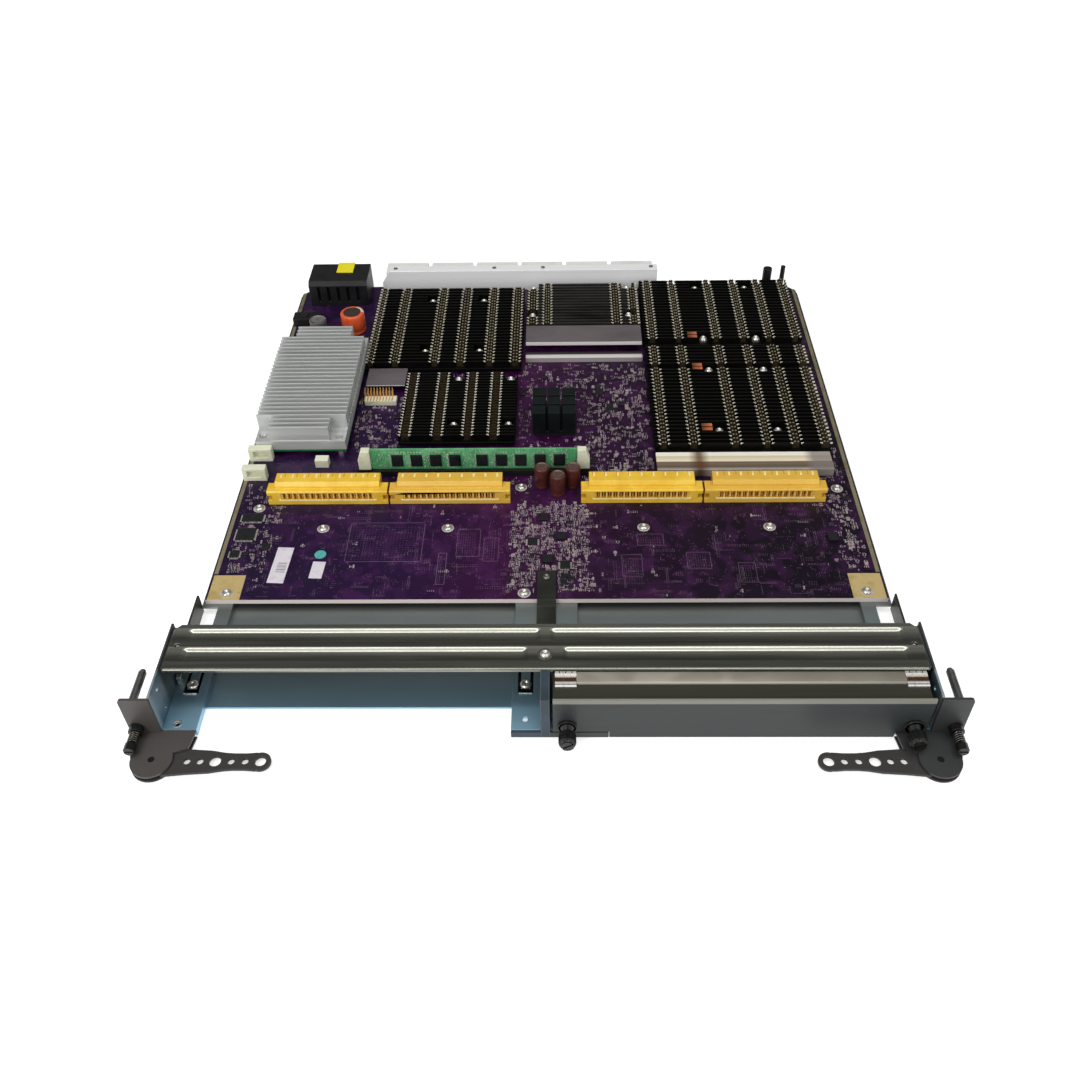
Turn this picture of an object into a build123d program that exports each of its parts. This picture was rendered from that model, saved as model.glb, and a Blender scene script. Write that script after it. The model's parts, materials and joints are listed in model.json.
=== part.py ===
from build123d import *
import math
import os

# Switch line card: a full-width circuit board in a zinc-plated tray, with two
# module bays at the front, the left one open and the right one closed by a filler.
# Millimetres. While modelling, X runs right from the middle of the card, Y runs
# back from the front of the faceplate and Z runs up from the underside.

# Faceplate and tray sizes
face_width = 432.0
face_height = 31.75
ear_width = 16.0
sheet = 1.2
face_sheet = 1.5
tray_back = 428.0
rail_width = 18.0
centre_rail_left = -17.0
centre_rail_right = 19.0
bay_floor_front = 18.5
wall_back = 52.0
wall_tail_back = 90.0
wall_tail_height = 13.0
wall_step = 3.0
wall_holes = ((12.1, 25.4), (13.4, 9.0))
wall_hole_radius = 1.3
rail_gap_width = 9.5
tab_front = 34.5
tab_reach = 3.4
tab_height = 7.0
window_width = 8.2
window_front = 25.6
window_back = 40.8

# Cross bar sizes
bar_front = 19.6
bar_back = 51.0
bar_side_gap = 1.4
bar_hole_inset = 4.5
bar_hole_radius = 1.5
bar_hole_y = 36.4
flange_clear = 1.2
bead_depth = 1.0
bead_width = 9.4
bead_steps = 5
bead_inset = 9.0
bead_rows = (30.0, 41.6)
bead_gaps = (10.0, 3.0)
bar_middle = 1.0

# Board sizes
board_side_gap = 2.0
board_front = 91.0
board_back = 437.0
board_thick = 3.2
board_top = 8.0
board_corner = 11.0

# Lever and pivot sizes
pivot_outset = 0.8
pivot_y = -16.8
pivot_plate_radius = 10.8
pivot_plate_shoulder = 11.0
lever_thick = 1.8
lever_gap = 0.3
lever_reach = 56.0
lever_hub_radius = 9.4
lever_end_radius = 5.4
lever_widths = ((6.0, 8.6), (18.0, 7.3), (30.0, 6.5), (37.0, 5.2), (42.0, 4.8), (48.5, 4.8), (54.0, 5.3))
lever_holes = ((18.0, 1.9), (24.8, 1.9), (40.8, 1.9), (48.0, 1.9))
lever_large_reach = 32.6
lever_large_hole = 3.1
lever_end_hole = 2.9
lever_pin_radius = 1.7
lever_pin_sink = 0.2
running_fit = 0.06
plate_hole_gap = 0.12

# Captive screw sizes
ear_screw_inset = 4.6
ear_screw_z = 9.2
collar_radius = 3.9
collar_length = 4.0
screw_shaft_radius = 1.6
screw_hole_gap = 0.35
screw_knob_radius = 3.2
screw_knob_length = 4.6
screw_tail = 6.0
spring_length = 7.0
spring_turns = 4.0
spring_wire = 0.7
spring_radius = 2.35
spring_sides = 6
filler_screw_inset = 7.4
filler_screw_z = 10.2
filler_knob_radius = 4.6
filler_knob_length = 9.0
filler_shaft_radius = 3.0
filler_shaft_length = 2.4
filler_collar_length = 1.6
filler_collar_radius = 5.0
filler_screw_tail = 11.0

# Guide pins, divider and filler sizes
guide_pin_inset = 3.6
guide_pin_z = 22.0
guide_pin_radius = 2.2
guide_pin_length = 24.5
guide_pin_tip = 1.5
post_left = -1.4
post_right = 3.5
lip_left = -17.0
lip_right = 34.0
lip_height = 4.2
strap_width = 11.0
strap_thick = 1.5
strap_back = 112.5
filler_left = 5.0
filler_side_gap = 2.6
filler_depth = 44.0
filler_gap = 0.35
gasket_front = 11.8
gasket_back = 19.3
gasket_inset = 1.2
clip_length = 11.0

# Module connector sizes
connector_room = 22.4
connector_gap = 1.2
connector_inset = 21.6
connector_front = 173.5
connector_depth = 9.0
connector_height = 10.6
slot_margin = 8.7
slot_low = 3.4
slot_high = 9.2
slot_depth = 6.5
upper_inset = 5.0
upper_depth = 5.2
upper_height = 14.2
upper_setback = 3.5
ear_round = 3.0
lip_round = 1.2
notch_low = 3.5
notch_high = 7.5
upper_slope = 2.2

# Memory module sizes
memory_left = -113.4
memory_length = 133.35
memory_y = 203.0
memory_thick = 1.27
memory_low = 1.6
memory_height = 18.9
chip_width = 7.2
chip_height = 9.0
chip_proud = 1.0
chip_low = 7.0
chip_margin = 17.1
chip_end_margin = 11.15
chip_middle_gap = 17.6
chip_counts = (4, 5)
socket_depth = 6.6
socket_height = 4.4
latch_thick = 5.0
latch_height = 20.0
latch_width = 8.0
latch_gap = 0.35
latch_pin_radius = 1.0
latch_hub_radius = 2.2
cheek = 0.6

# Power converter sizes
brick_inset = 5.0
brick_width = 60.0
brick_front = 222.0
brick_length = 122.0
brick_stand = 3.9
brick_board = 1.6
brick_base = 7.0
brick_top = 31.4
brick_fin = 1.3
brick_fins = 28
brick_narrow_fins = 3
brick_narrow_width = 40.0
brick_hole_inset = 4.6
brick_chamfer = 7.0

# Dark finned heatsinks: front and back edges, then screw insets from the four edges
heatsink_lift = 2.5
heatsink_base = 2.0
heatsink_top = 18.2
fin_pitch = 6.0
fin_thick = 2.0
screw_pocket = 8.4
left_rear_gap = 0.8
sink_gap = 2.5
right_sink_gap = 2.0
left_rear_spots = (315.0, 417.0)
left_rear_insets = (42.2, 31.5, 18.0, 15.0)
left_front_gap = 1.5
left_front_inset = 5.0
left_front_spots = (229.5, 303.0)
left_front_insets = (36.5, 4.8, 16.1, 5.0)
centre_left = -16.0
centre_right = 70.0
centre_spots = (363.0, 424.0)
centre_insets = (4.5, 8.0, 18.0, 4.5)
right_rear_inset = 9.5
right_front_inset = 10.0
right_rear_spots = (343.0, 426.5)
right_rear_insets = (44.0, 33.5, 5.0, 8.5)
right_front_spots = (218.0, 334.5)
right_front_insets = (44.0, 33.0, 19.5, 27.0)
sink_screw_radius = 2.9
sink_screw_height = 4.0
pipe_radius = 1.5
pipe_left = 32.0
pipe_length = 7.0
pipe_proud = 0.4
chip_sink_left = -9.3
chip_sink_width = 29.0
chip_sink_front = 241.0
chip_sink_depth = 29.0
chip_sink_top = 28.0
chip_sink_slot = 1.6

# Shields, back bar and rear pieces
shield_sheet = 1.2
centre_shield_front = 340.0
centre_shield_top = 18.0
step_front = 328.5
step_back = 336.5
step_height = 4.0
left_shield_inset = 4.0
left_shield_width = 28.0
left_shield_front = 291.5
left_shield_back = 312.5
left_shield_top = 15.0
right_shield_inset = 12.0
right_shield_front = 198.6
right_shield_back = 216.5
right_shield_top = 14.0
back_bar_gap = 9.0
back_bar_cut_width = 7.0
back_bar_cut_height = 12.0
back_bar_right = 87.0
back_bar_setback = 6.5
back_bar_depth = 8.5
back_bar_top = 25.5
back_bar_sheet = 1.6
backplane_length = 33.0
backplane_gap = 3.0
backplane_clear = 0.2
backplane_depth = 14.7

# Small board parts. Cans: place from the board's left edge, then radius and height
orange_can = (49.0, 374.0, 9.0, 16.0)
grey_can = (22.5, 371.0, 6.4, 12.0)
brown_cans = ((-2.6, 191.0), (7.6, 183.4), (17.3, 191.0))
brown_radius = 4.8
brown_height = 16.0
small_can_sides = 14
can_sides = 20
small_chip_height = 1.5
left_chips = ((14.0, 160.5, 13.0, 6.5), (12.7, 145.5, 11.5, 10.0), (9.4, 128.2, 5.5, 5.5))
right_chips = ((23.0, 141.0, 6.0, 6.0),)
centre_chips = (
    (-1.5, 160.0, 6.0, 6.0),
    (-7.8, 138.0, 6.0, 6.0),
    (1.5, 123.0, 6.0, 6.0),
    (9.5, 143.0, 6.0, 6.0),
    (12.0, 118.0, 6.0, 6.0),
)
power_plug_inset = 10.0
power_plug_width = 46.0
power_plug_depth = 29.0
power_plug_proud = 1.0
power_plug_height = 20.5
plug_chamfer = 3.0
plug_slots = 5
plug_slot = 2.4
plug_slot_margin = 4.0
plug_front_slot = 3.0
plug_back_slot = 7.0
tag_width = 13.0
tag_offset = 4.0
tag_thick = 0.8
tag_reach = 14.8
tag_drop = 6.8
clip_block_inset = 1.0
clip_block_width = 21.0
clip_block_front = 379.0
clip_block_depth = 10.0
clip_block_height = 7.0
clip_boss_inset = 9.0
clip_boss_height = 1.4
post_inset = 23.5
post_setback = 5.5
post_radius = 3.6
post_height = 17.0
pin_inset = 11.6
pin_setback = 6.0
pin_radius = 1.9
pin_height = 19.0
socket_fronts = (196.6, 216.4)
side_socket_inset = 0.6
side_socket_width = 15.4
side_socket_depth = 5.2
side_socket_height = 10.0
side_socket_wall = 3.0
side_socket_back = 1.2
side_socket_lid = 1.8
plug_inset = 45.6
plug_front = 209.5
plug_size = (8.8, 6.0, 6.0)
header_gap = 4.6
header_front = 277.0
header_size = (22.4, 6.5, 4.0)

# Fasteners, with the number of flats that small round pieces are drawn with
small_sides = 8
hole_sides = 8
knob_sides = 10
pin_sides = 16
sink_screw_sides = 6
pan_radius = 3.0
pan_height = 1.6
rivet_radius = 2.2
rivet_height = 1.3
rivet_spots = ((6.0, 27.5), (30.0, 20.0))
centre_screw_offset = 7.2
rail_screw_setback = 6.2
strap_screw_inset = 5.5
small_screw_radius = 2.4
spacer_radius = 3.0
corner_screw_inset = 11.6
corner_screw_setback = 5.3
ring_ahead = 22.4
spacer_back = 400.0
side_screws = ((12.0, 186.3), (16.1, 170.0))
centre_screw_spots = ((-16.0, 189.0), (-12.0, 95.9))
tray_hole_inset = 7.1
tray_hole_y = 5.5
centre_hole = (-9.7, 8.2)
tray_hole_radius = 1.5
bar_screw_insets = ((11.0, 90.0), (91.0, 5.0))
bar_screw_height = 0.8
bar_screw_radius = 1.6

# Values worked out from the sizes above
bay_half_width = face_width / 2 - ear_width
bar_half_width = bay_half_width - bar_side_gap
board_half_width = bay_half_width - board_side_gap
pivot_x = bay_half_width + pivot_outset
ear_screw_x = face_width / 2 - ear_screw_inset
guide_pin_x = face_width / 2 - guide_pin_inset
filler_right = bay_half_width - filler_side_gap
connector_span = board_half_width - connector_inset - connector_room
connector_width = (connector_span - connector_gap) / 2
slot_width = connector_width - 2 * slot_margin
outer_connector = board_half_width - connector_inset - connector_width / 2
inner_connector = outer_connector - connector_width - connector_gap
connector_centres = (-outer_connector, -inner_connector, inner_connector, outer_connector)
rail_top = board_top - board_thick
wall_outer = bay_half_width + sheet
bar_under = face_height - sheet
plate_under = rail_top - sheet
lever_under = plate_under - lever_gap - lever_thick
lower_plate = lever_under - lever_gap
sink_base_low = board_top + heatsink_lift
sink_floor = sink_base_low + heatsink_base
brick_low = board_top + brick_stand
brick_floor = brick_low + brick_board + brick_base
front_reach = -(pivot_y - pivot_plate_radius)
filler_top = bar_under - bead_depth - filler_gap
brick_left = brick_inset - board_half_width
brick_right = brick_left + brick_width
plug_left = power_plug_inset - board_half_width
power_plug_back = board_back + power_plug_proud
power_plug_front = power_plug_back - power_plug_depth
back_bar_front = board_back - back_bar_setback
backplane_front = back_bar_front + back_bar_sheet + backplane_clear
backplane_back = backplane_front + backplane_depth
post_y = board_back - post_setback
pin_y = board_back - pin_setback
power_plug_top = board_top + power_plug_height
plug_right = plug_left + power_plug_width
back_bar_left = plug_right + back_bar_gap
left_shield_left = brick_right + left_shield_inset
left_shield_right = left_shield_left + left_shield_width
left_front_left = left_shield_right + left_front_gap
right_sink_left = centre_right + right_sink_gap
right_shield_right = board_half_width - right_shield_inset
left_rear_sink = (brick_right + left_rear_gap, centre_left - sink_gap, *left_rear_spots)
left_front_sink = (left_front_left, centre_left - left_front_inset, *left_front_spots)
centre_sink = (centre_left, centre_right, *centre_spots)
right_rear_sink = (right_sink_left, board_half_width - right_rear_inset, *right_rear_spots)
right_front_sink = (right_sink_left, board_half_width - right_front_inset, *right_front_spots)
sinks = {
    "left_rear": (left_rear_sink, left_rear_insets),
    "left_front": (left_front_sink, left_front_insets),
    "centre": (centre_sink, centre_insets),
    "right_rear": (right_rear_sink, right_rear_insets),
    "right_front": (right_front_sink, right_front_insets),
}
card_length = front_reach + backplane_back
origin_shift = (0.0, (front_reach - backplane_back) / 2, 0.0)
pieces = {}


def block(x0, x1, y0, y1, z0, z1):
    """A box between two corners."""
    low = Align.MIN, Align.MIN, Align.MIN
    return Pos(x0, y0, z0) * Box(x1 - x0, y1 - y0, z1 - z0, align=low)


def rod(x, y0, y1, z, radius):
    """A cylinder along Y."""
    low = Align.CENTER, Align.CENTER, Align.MIN
    return Pos(x, y0, z) * Rot(X=-90) * Cylinder(radius, y1 - y0, align=low)


def stud(x, y, z0, z1, radius, sides=small_sides):
    """An upright small round piece, drawn with a few flats."""
    return Pos(x, y, z0) * extrude(RegularPolygon(radius, sides), amount=z1 - z0)


def rod(x, y0, y1, z, radius):
    """A true cylinder along Y."""
    low = Align.CENTER, Align.CENTER, Align.MIN
    return Pos(x, y0, z) * Rot(X=-90) * Cylinder(radius, y1 - y0, align=low)


def shank(x, y0, y1, z, radius, sides=knob_sides):
    """A small round piece along Y, drawn with a few flats."""
    frame = Plane(origin=(x, y0, z), x_dir=(1, 0, 0), z_dir=(0, -1, 0))
    return extrude(frame * RegularPolygon(radius, sides), amount=y1 - y0, dir=(0, 1, 0))


def prism_across(points, x0, x1):
    """A YZ outline of (y, z) points carried along X."""
    outline = Plane.YZ.offset(x0) * Polygon(*points, align=None)
    return extrude(outline, amount=x1 - x0, dir=(1, 0, 0))


def prism_back(points, y0, y1):
    """An XZ outline of (x, z) points carried along Y."""
    frame = Plane(origin=(0, y0, 0), x_dir=(1, 0, 0), z_dir=(0, -1, 0))
    return extrude(frame * Polygon(*points, align=None), amount=y1 - y0, dir=(0, 1, 0))


def folded_outline(path, thick):
    """A folded sheet's outline: the path, and the same path back below it."""
    lower = []
    for index, (x, z) in enumerate(path):
        before = path[max(index - 1, 0)]
        after = path[min(index + 1, len(path) - 1)]
        turn_in = (x - before[0], z - before[1]) if index else (after[0] - x, after[1] - z)
        turn_out = (after[0] - x, after[1] - z) if index < len(path) - 1 else turn_in
        normal_in = unit_right(turn_in)
        normal_out = unit_right(turn_out)
        share = 1 + normal_in[0] * normal_out[0] + normal_in[1] * normal_out[1]
        step = thick / share
        lower.append((x + step * (normal_in[0] + normal_out[0]), z + step * (normal_in[1] + normal_out[1])))
    return list(path) + lower[::-1]


def unit_right(way):
    """The unit vector to the right of a direction."""
    size = math.hypot(way[0], way[1])
    return way[1] / size, -way[0] / size


def raised(outline, z0, z1):
    """An XY outline carried up from one height to another."""
    return extrude(Pos(0, 0, z0) * outline, amount=z1 - z0, dir=(0, 0, 1))


def both_sides(solid):
    """A right-hand piece and its mirror image on the left."""
    return {"right": solid, "left": mirror(solid, about=Plane.YZ)}


def add_pair(name, solid):
    for side, copy in both_sides(solid).items():
        pieces[side + "_" + name] = copy


def group(solids):
    """Separate solids that share one node."""
    return Compound(children=[part for solid in solids for part in solid.solids()])


# Tray: one folded sheet with raised rails at the sides and in the middle
def base_tray():
    step = bay_half_width - rail_width
    path = [
        (-bay_half_width, rail_top),
        (-step, rail_top),
        (-step, sheet),
        (centre_rail_left, sheet),
        (centre_rail_left, rail_top),
        (centre_rail_right, rail_top),
        (centre_rail_right, sheet),
        (step, sheet),
        (step, rail_top),
        (bay_half_width, rail_top),
    ]
    tray = prism_back(folded_outline(path, sheet), face_sheet, tray_back)
    for left, right in ((-step, centre_rail_left), (centre_rail_right, step)):
        tray -= block(left, right, 0, bay_floor_front, -1, rail_top - sheet)
    for side in (-1, 1):
        gap = sorted((side * bay_half_width, side * (bay_half_width - rail_gap_width)))
        tray -= block(gap[0], gap[1], wall_back, wall_tail_back - 2, 0, rail_top + 1)
    middle = bay_half_width - rail_width / 2
    for centre in (-middle, centre_rail_left + centre_screw_offset, middle):
        edge = centre - window_width / 2
        tray -= block(edge, edge + window_width, window_front, window_back, 0, rail_top + 1)
    hole_x = bay_half_width - tray_hole_inset
    for x, y in ((-hole_x, tray_hole_y), centre_hole, (hole_x, tray_hole_y)):
        tray -= stud(x, y, 0, rail_top + 1, tray_hole_radius)
    for centre in (-middle, centre_rail_left + centre_screw_offset, middle):
        tray += block(centre - 2.6, centre + 2.6, window_front + 3, window_back, rail_top - sheet, rail_top)
    return tray


def side_wall():
    """Right-hand bay wall with a low tail at the back and a flange under the bar."""
    outline = [
        (face_sheet, 0),
        (wall_tail_back, 0),
        (wall_tail_back, wall_tail_height),
        (wall_back + wall_step, wall_tail_height),
        (wall_back, wall_tail_height + wall_step),
        (wall_back, face_height),
        (face_sheet, face_height),
    ]
    wall = prism_across(outline, bay_half_width, wall_outer)
    inner = bar_half_width - bead_inset + flange_clear
    wall += block(inner, bay_half_width, bar_front + 2, bar_back - 1, bar_under - sheet, bar_under)
    for y, z in wall_holes:
        wall -= Pos(bay_half_width - 1, y, z) * Rot(Y=90) * stud(0, 0, 0, sheet + 2, wall_hole_radius)
    tab_edge = bay_half_width - tab_reach
    wall += block(tab_edge, bay_half_width, tab_front, tab_front + sheet, rail_top, rail_top + tab_height)
    return wall


# Faceplate ears with the plates that hold the levers
def pivot_outline():
    """Right-hand plate seen from above: a shoulder and a round nose about the pivot."""
    outer = face_width / 2
    inner = bay_half_width - rail_width
    nose = Pos(pivot_x, pivot_y) * Circle(pivot_plate_radius)
    back = Polygon(
        (inner, 0),
        (outer, 0),
        (outer, -3),
        (pivot_x + pivot_plate_radius, pivot_y),
        (pivot_x - pivot_plate_radius * 0.9, pivot_y + 4),
        (inner + 1.5, -pivot_plate_shoulder + 1),
        align=None,
    )
    return nose + back


def faceplate_ear():
    ear = block(bay_half_width, face_width / 2, 0, face_sheet, plate_under, face_height)
    edges = ear.edges().filter_by(Axis.Y).sort_by(Axis.Z)[-2:]
    ear = fillet(edges.sort_by(Axis.X)[-1:], 2.0)
    ear += raised(pivot_outline(), plate_under, rail_top)
    ear += block(bay_half_width - rail_width, face_width / 2, 0, face_sheet, plate_under, rail_top)
    ear -= stud(pivot_x, pivot_y, 0, rail_top + 1, lever_pin_radius + plate_hole_gap, knob_sides)
    return ear - shank(ear_screw_x, -1, face_sheet + 1, ear_screw_z, screw_shaft_radius + screw_hole_gap)


def pivot_plate():
    """Lower plate under the lever, with a riser behind the hub up to the ear's plate."""
    plate = raised(pivot_outline(), 0, lower_plate)
    plate += block(bay_half_width - rail_width + 2, face_width / 2, -1.2, 0, 0, plate_under)
    plate -= stud(pivot_x, pivot_y, -1, rail_top, lever_pin_radius + plate_hole_gap, knob_sides)
    return plate


def lever():
    """Right-hand ejector lever, folded in along the front, with a claw at its hub."""
    hub = Pos(pivot_x, pivot_y) * Circle(lever_hub_radius)
    tip_x = pivot_x - lever_reach
    end = Pos(tip_x, pivot_y) * Circle(lever_end_radius)
    top = [(pivot_x - reach, pivot_y + width) for reach, width in lever_widths]
    low = [(pivot_x - reach, pivot_y - width) for reach, width in reversed(lever_widths)]
    bar = hub + end + Polygon(*top, *low, align=None)
    for reach, radius in lever_holes:
        bar -= Pos(pivot_x - reach, pivot_y) * RegularPolygon(radius, hole_sides)
    for x, radius in ((pivot_x - lever_large_reach, lever_large_hole), (tip_x, lever_end_hole)):
        bar -= Pos(x, pivot_y) * RegularPolygon(radius, 2 * hole_sides)
    bar -= Pos(pivot_x, pivot_y) * Circle(lever_pin_radius + running_fit)
    bar -= Pos(pivot_x + lever_hub_radius, pivot_y + 2.6) * Rectangle(5.0, 2.6)
    return raised(bar, lever_under, lever_under + lever_thick)


def lever_pin(side):
    return stud(side * pivot_x, pivot_y, 0, rail_top - lever_pin_sink, lever_pin_radius, pin_sides)


def guide_pin(side):
    """Alignment pin behind an ear, with a smaller tip."""
    x = side * guide_pin_x
    back = face_sheet + guide_pin_length
    tip = shank(x, back, back + guide_pin_tip, guide_pin_z, guide_pin_radius * 0.7)
    return rod(x, face_sheet, back, guide_pin_z, guide_pin_radius) + tip


# Captive screws
def collar(x, z, length, radius, bore):
    return shank(x, -length, 0, z, radius) - shank(x, -length - 1, 1, z, bore)


def screw_collars():
    ear_bore = screw_shaft_radius + screw_hole_gap
    rings = []
    for x in (-ear_screw_x, ear_screw_x):
        rings.append(collar(x, ear_screw_z, collar_length, collar_radius, ear_bore))
    filler_bore = filler_shaft_radius + screw_hole_gap
    for x in filler_screw_places():
        rings.append(collar(x, filler_screw_z, filler_collar_length, filler_collar_radius, filler_bore))
    return group(rings)


def filler_screw_places():
    return filler_left + filler_screw_inset, filler_right - filler_screw_inset


def knob(x, y0, y1, z, radius):
    """Knurled knob with a driver slot across its face."""
    head = shank(x, y0, y1, z, radius)
    return head - block(x - radius, x + radius, y0 - 1, y0 + 1, z - 0.5, z + 0.5)


def ear_screw():
    """Right-hand ear screw, pushed out by its spring."""
    knob_back = -collar_length - spring_length
    head = knob(ear_screw_x, knob_back - screw_knob_length, knob_back, ear_screw_z, screw_knob_radius)
    return head + shank(ear_screw_x, knob_back, screw_tail, ear_screw_z, screw_shaft_radius)


def ear_spring():
    """Coil between the collar and the knob, wound in short straight steps of square wire."""
    start = -collar_length - spring_length + spring_wire * 0.75
    free = spring_length - spring_wire * 1.5
    steps = round(spring_turns * spring_sides)
    points = []
    for step in range(steps + 1):
        angle = 2 * math.pi * spring_turns * step / steps
        across = ear_screw_x + spring_radius * math.cos(angle)
        up = ear_screw_z + spring_radius * math.sin(angle)
        points.append((across, start + free * step / steps, up))
    path = Polyline(*points)
    section = Plane(origin=points[0], z_dir=path % 0) * Rectangle(spring_wire, spring_wire)
    return sweep(section, path=path, transition=Transition.RIGHT)


def filler_screw(x):
    knob_back = -filler_collar_length - filler_shaft_length
    head = knob(x, knob_back - filler_knob_length, knob_back, filler_screw_z, filler_knob_radius)
    neck = shank(x, knob_back, filler_collar_length, filler_screw_z, filler_shaft_radius)
    tail = shank(x, filler_collar_length, filler_screw_tail, filler_screw_z, screw_shaft_radius)
    return head + neck + tail


# Cross bar and centre pieces
def bead_outline(x0, x1, y, width):
    """A long shape with round ends, seen from above."""
    radius = width / 2
    turns = [math.pi * (step / bead_steps - 0.5) for step in range(bead_steps + 1)]
    right = [(x1 - radius + radius * math.cos(turn), y + radius * math.sin(turn)) for turn in turns]
    left = [(x0 + radius - radius * math.cos(turn), y - radius * math.sin(turn)) for turn in turns]
    return Polygon(*right, *left, align=None)


def bead(x0, x1, y):
    """The sloped recess of one bead."""
    floor = Pos(0, 0, face_height - bead_depth) * bead_outline(x0 + 1, x1 - 1, y, bead_width - 2)
    mouth = Pos(0, 0, face_height) * bead_outline(x0, x1, y, bead_width)
    return loft([floor, mouth])


def bead_under(x0, x1, y):
    """What the bead pushes out below the sheet."""
    return raised(bead_outline(x0, x1, y, bead_width), bar_under - bead_depth, bar_under)


def cross_bar():
    bar = block(-bar_half_width, bar_half_width, bar_front, bar_back, bar_under, face_height)
    bar = chamfer(bar.edges().filter_by(Axis.Z).sort_by(Axis.Y)[-2:], 3.5)
    reach = bar_half_width - bead_inset
    for y, gap in zip(bead_rows, bead_gaps):
        spans = (-reach, bar_middle - gap), (bar_middle + gap, reach)
        for x0, x1 in spans:
            bar += bead_under(x0, x1, y)
            bar -= bead(x0, x1, y)
    for side in (-1, 1):
        x = side * (bar_half_width - bar_hole_inset)
        bar -= stud(x, bar_hole_y, bar_under - 1, face_height + 1, bar_hole_radius)
    return bar


def centre_divider():
    """Post between the bays with a front bezel that runs along its foot."""
    post = block(post_left, post_right, face_sheet, bar_back, rail_top, bar_under)
    post += block(post_left, post_right, 0, bar_front, rail_top, face_height)
    post += block(lip_left, lip_right, 0, face_sheet, 0, lip_height)
    post += block(post_left, post_right, 0, face_sheet, lip_height, rail_top)
    x0 = post_left + sheet
    x1 = post_right - sheet
    return post - block(x0, x1, bar_front + 4, bar_back + 1, rail_top + 6, bar_under - 4)


def centre_strap():
    """Guide strap from the divider's foot back over the edge of the board."""
    x0 = bar_middle - strap_width / 2
    x1 = bar_middle + strap_width / 2
    path = [
        (bar_back, rail_top + strap_thick),
        (board_front - 4, rail_top + strap_thick),
        (board_front - 2, board_top + strap_thick),
        (strap_back, board_top + strap_thick),
    ]
    return prism_across(folded_outline(path, strap_thick), x0, x1)


# Filler panel and its gasket
def filler_panel():
    step = bay_half_width - rail_width
    notched = rail_top + filler_gap
    face = block(filler_left, filler_right, 0, face_sheet, notched, face_height - filler_gap)
    face += block(lip_right + filler_gap, step - filler_gap, 0, face_sheet, filler_gap, notched)
    shell_right = bay_half_width - tab_reach - filler_gap
    path = [
        (filler_left, rail_top),
        (filler_left, filler_top),
        (shell_right, filler_top),
        (shell_right, rail_top),
    ]
    panel = face + prism_back(folded_outline(path, sheet), face_sheet, filler_depth)
    for x in filler_screw_places():
        panel -= shank(x, -1, face_sheet + 1, filler_screw_z, filler_shaft_radius + screw_hole_gap)
    return panel


def filler_gasket():
    """Fabric-faced strip on the filler's lid with a metal clip at each end."""
    left = filler_left + gasket_inset
    right = filler_right - gasket_inset
    top = face_height - filler_gap
    strip = block(left + clip_length, right - clip_length, gasket_front, gasket_back, filler_top, top)
    parts = [strip]
    for edge in (left, right - clip_length):
        parts.append(block(edge, edge + clip_length, gasket_front - 2, gasket_back, filler_top, top))
    return group(parts)


# Board and what stands on it
def main_board():
    w = board_half_width
    c = board_corner
    outline = Polygon(
        (-w, board_front),
        (w, board_front),
        (w, board_back - c),
        (w - c, board_back),
        (-w + c, board_back),
        (-w, board_back - c),
        align=None,
    )
    return raised(outline, rail_top, board_top)


def board_screw_places():
    pad_x = board_half_width - corner_screw_inset
    pads = [(side * pad_x, board_front + corner_screw_setback) for side in (-1, 1)]
    rings = [(x, connector_front - ring_ahead) for x in connector_centres]
    right, left = side_screws
    sides = [(board_half_width - right[0], right[1]), (left[0] - board_half_width, left[1])]
    return pads + rings + sides + list(centre_screw_spots)


def board_screws():
    top = board_top + pan_height
    return group([stud(x, y, board_top, top, pan_radius) for x, y in board_screw_places()])


def board_standoffs():
    """Hexagonal spacers between the tray floor and the board."""
    spacers = []
    for y in (connector_front - ring_ahead, spacer_back):
        for x in connector_centres:
            spacers.append(stud(x, y, sheet, rail_top, spacer_radius, 6))
    return group(spacers)


def module_connector(centre):
    """Moulded connector with a front slot, notched ends and a raised, sloped back."""
    x0 = centre - connector_width / 2
    x1 = centre + connector_width / 2
    y0 = connector_front
    y1 = connector_front + connector_depth
    body = block(x0, x1, y0, y1, board_top, board_top + connector_height)
    edge = body.edges().filter_by(Axis.X).sort_by(Axis.Z)[-2:].sort_by(Axis.Y)[:1]
    body = fillet(edge, lip_round)
    low = board_top + notch_low
    high = board_top + notch_high
    body -= block(x0 - 1, x0 + ear_round, y0 - 1, y0 + ear_round, low, high)
    body -= block(x1 - ear_round, x1 + 1, y0 - 1, y0 + ear_round, low, high)
    x2 = x0 + upper_inset
    x3 = x1 - upper_inset
    y3 = y1 + upper_depth
    upper = block(x2, x3, y0 + upper_setback, y3, board_top, board_top + upper_height)
    edge = upper.edges().filter_by(Axis.X).sort_by(Axis.Z)[-2:].sort_by(Axis.Y)[:1]
    body += chamfer(edge, upper_slope)
    x4 = centre - slot_width / 2
    x5 = centre + slot_width / 2
    return body - block(x4, x5, y0 - 1, y0 + slot_depth, board_top + slot_low, board_top + slot_high)


def memory_socket():
    """Edge socket with its slot filled by the module, and ears for the latch pins."""
    x0 = memory_left - latch_gap * 0.5
    x1 = memory_left + memory_length + latch_gap * 0.5
    y0 = memory_y + memory_thick / 2 - socket_depth / 2
    body = block(x0, x1, y0, y0 + socket_depth, board_top, board_top + socket_height)
    body -= block(
        memory_left - 1,
        memory_left + memory_length + 1,
        memory_y,
        memory_y + memory_thick,
        board_top + memory_low,
        board_top + socket_height + 1,
    )
    for side in (-1, 1):
        body += socket_ear(side, y0)
    return body


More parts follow.
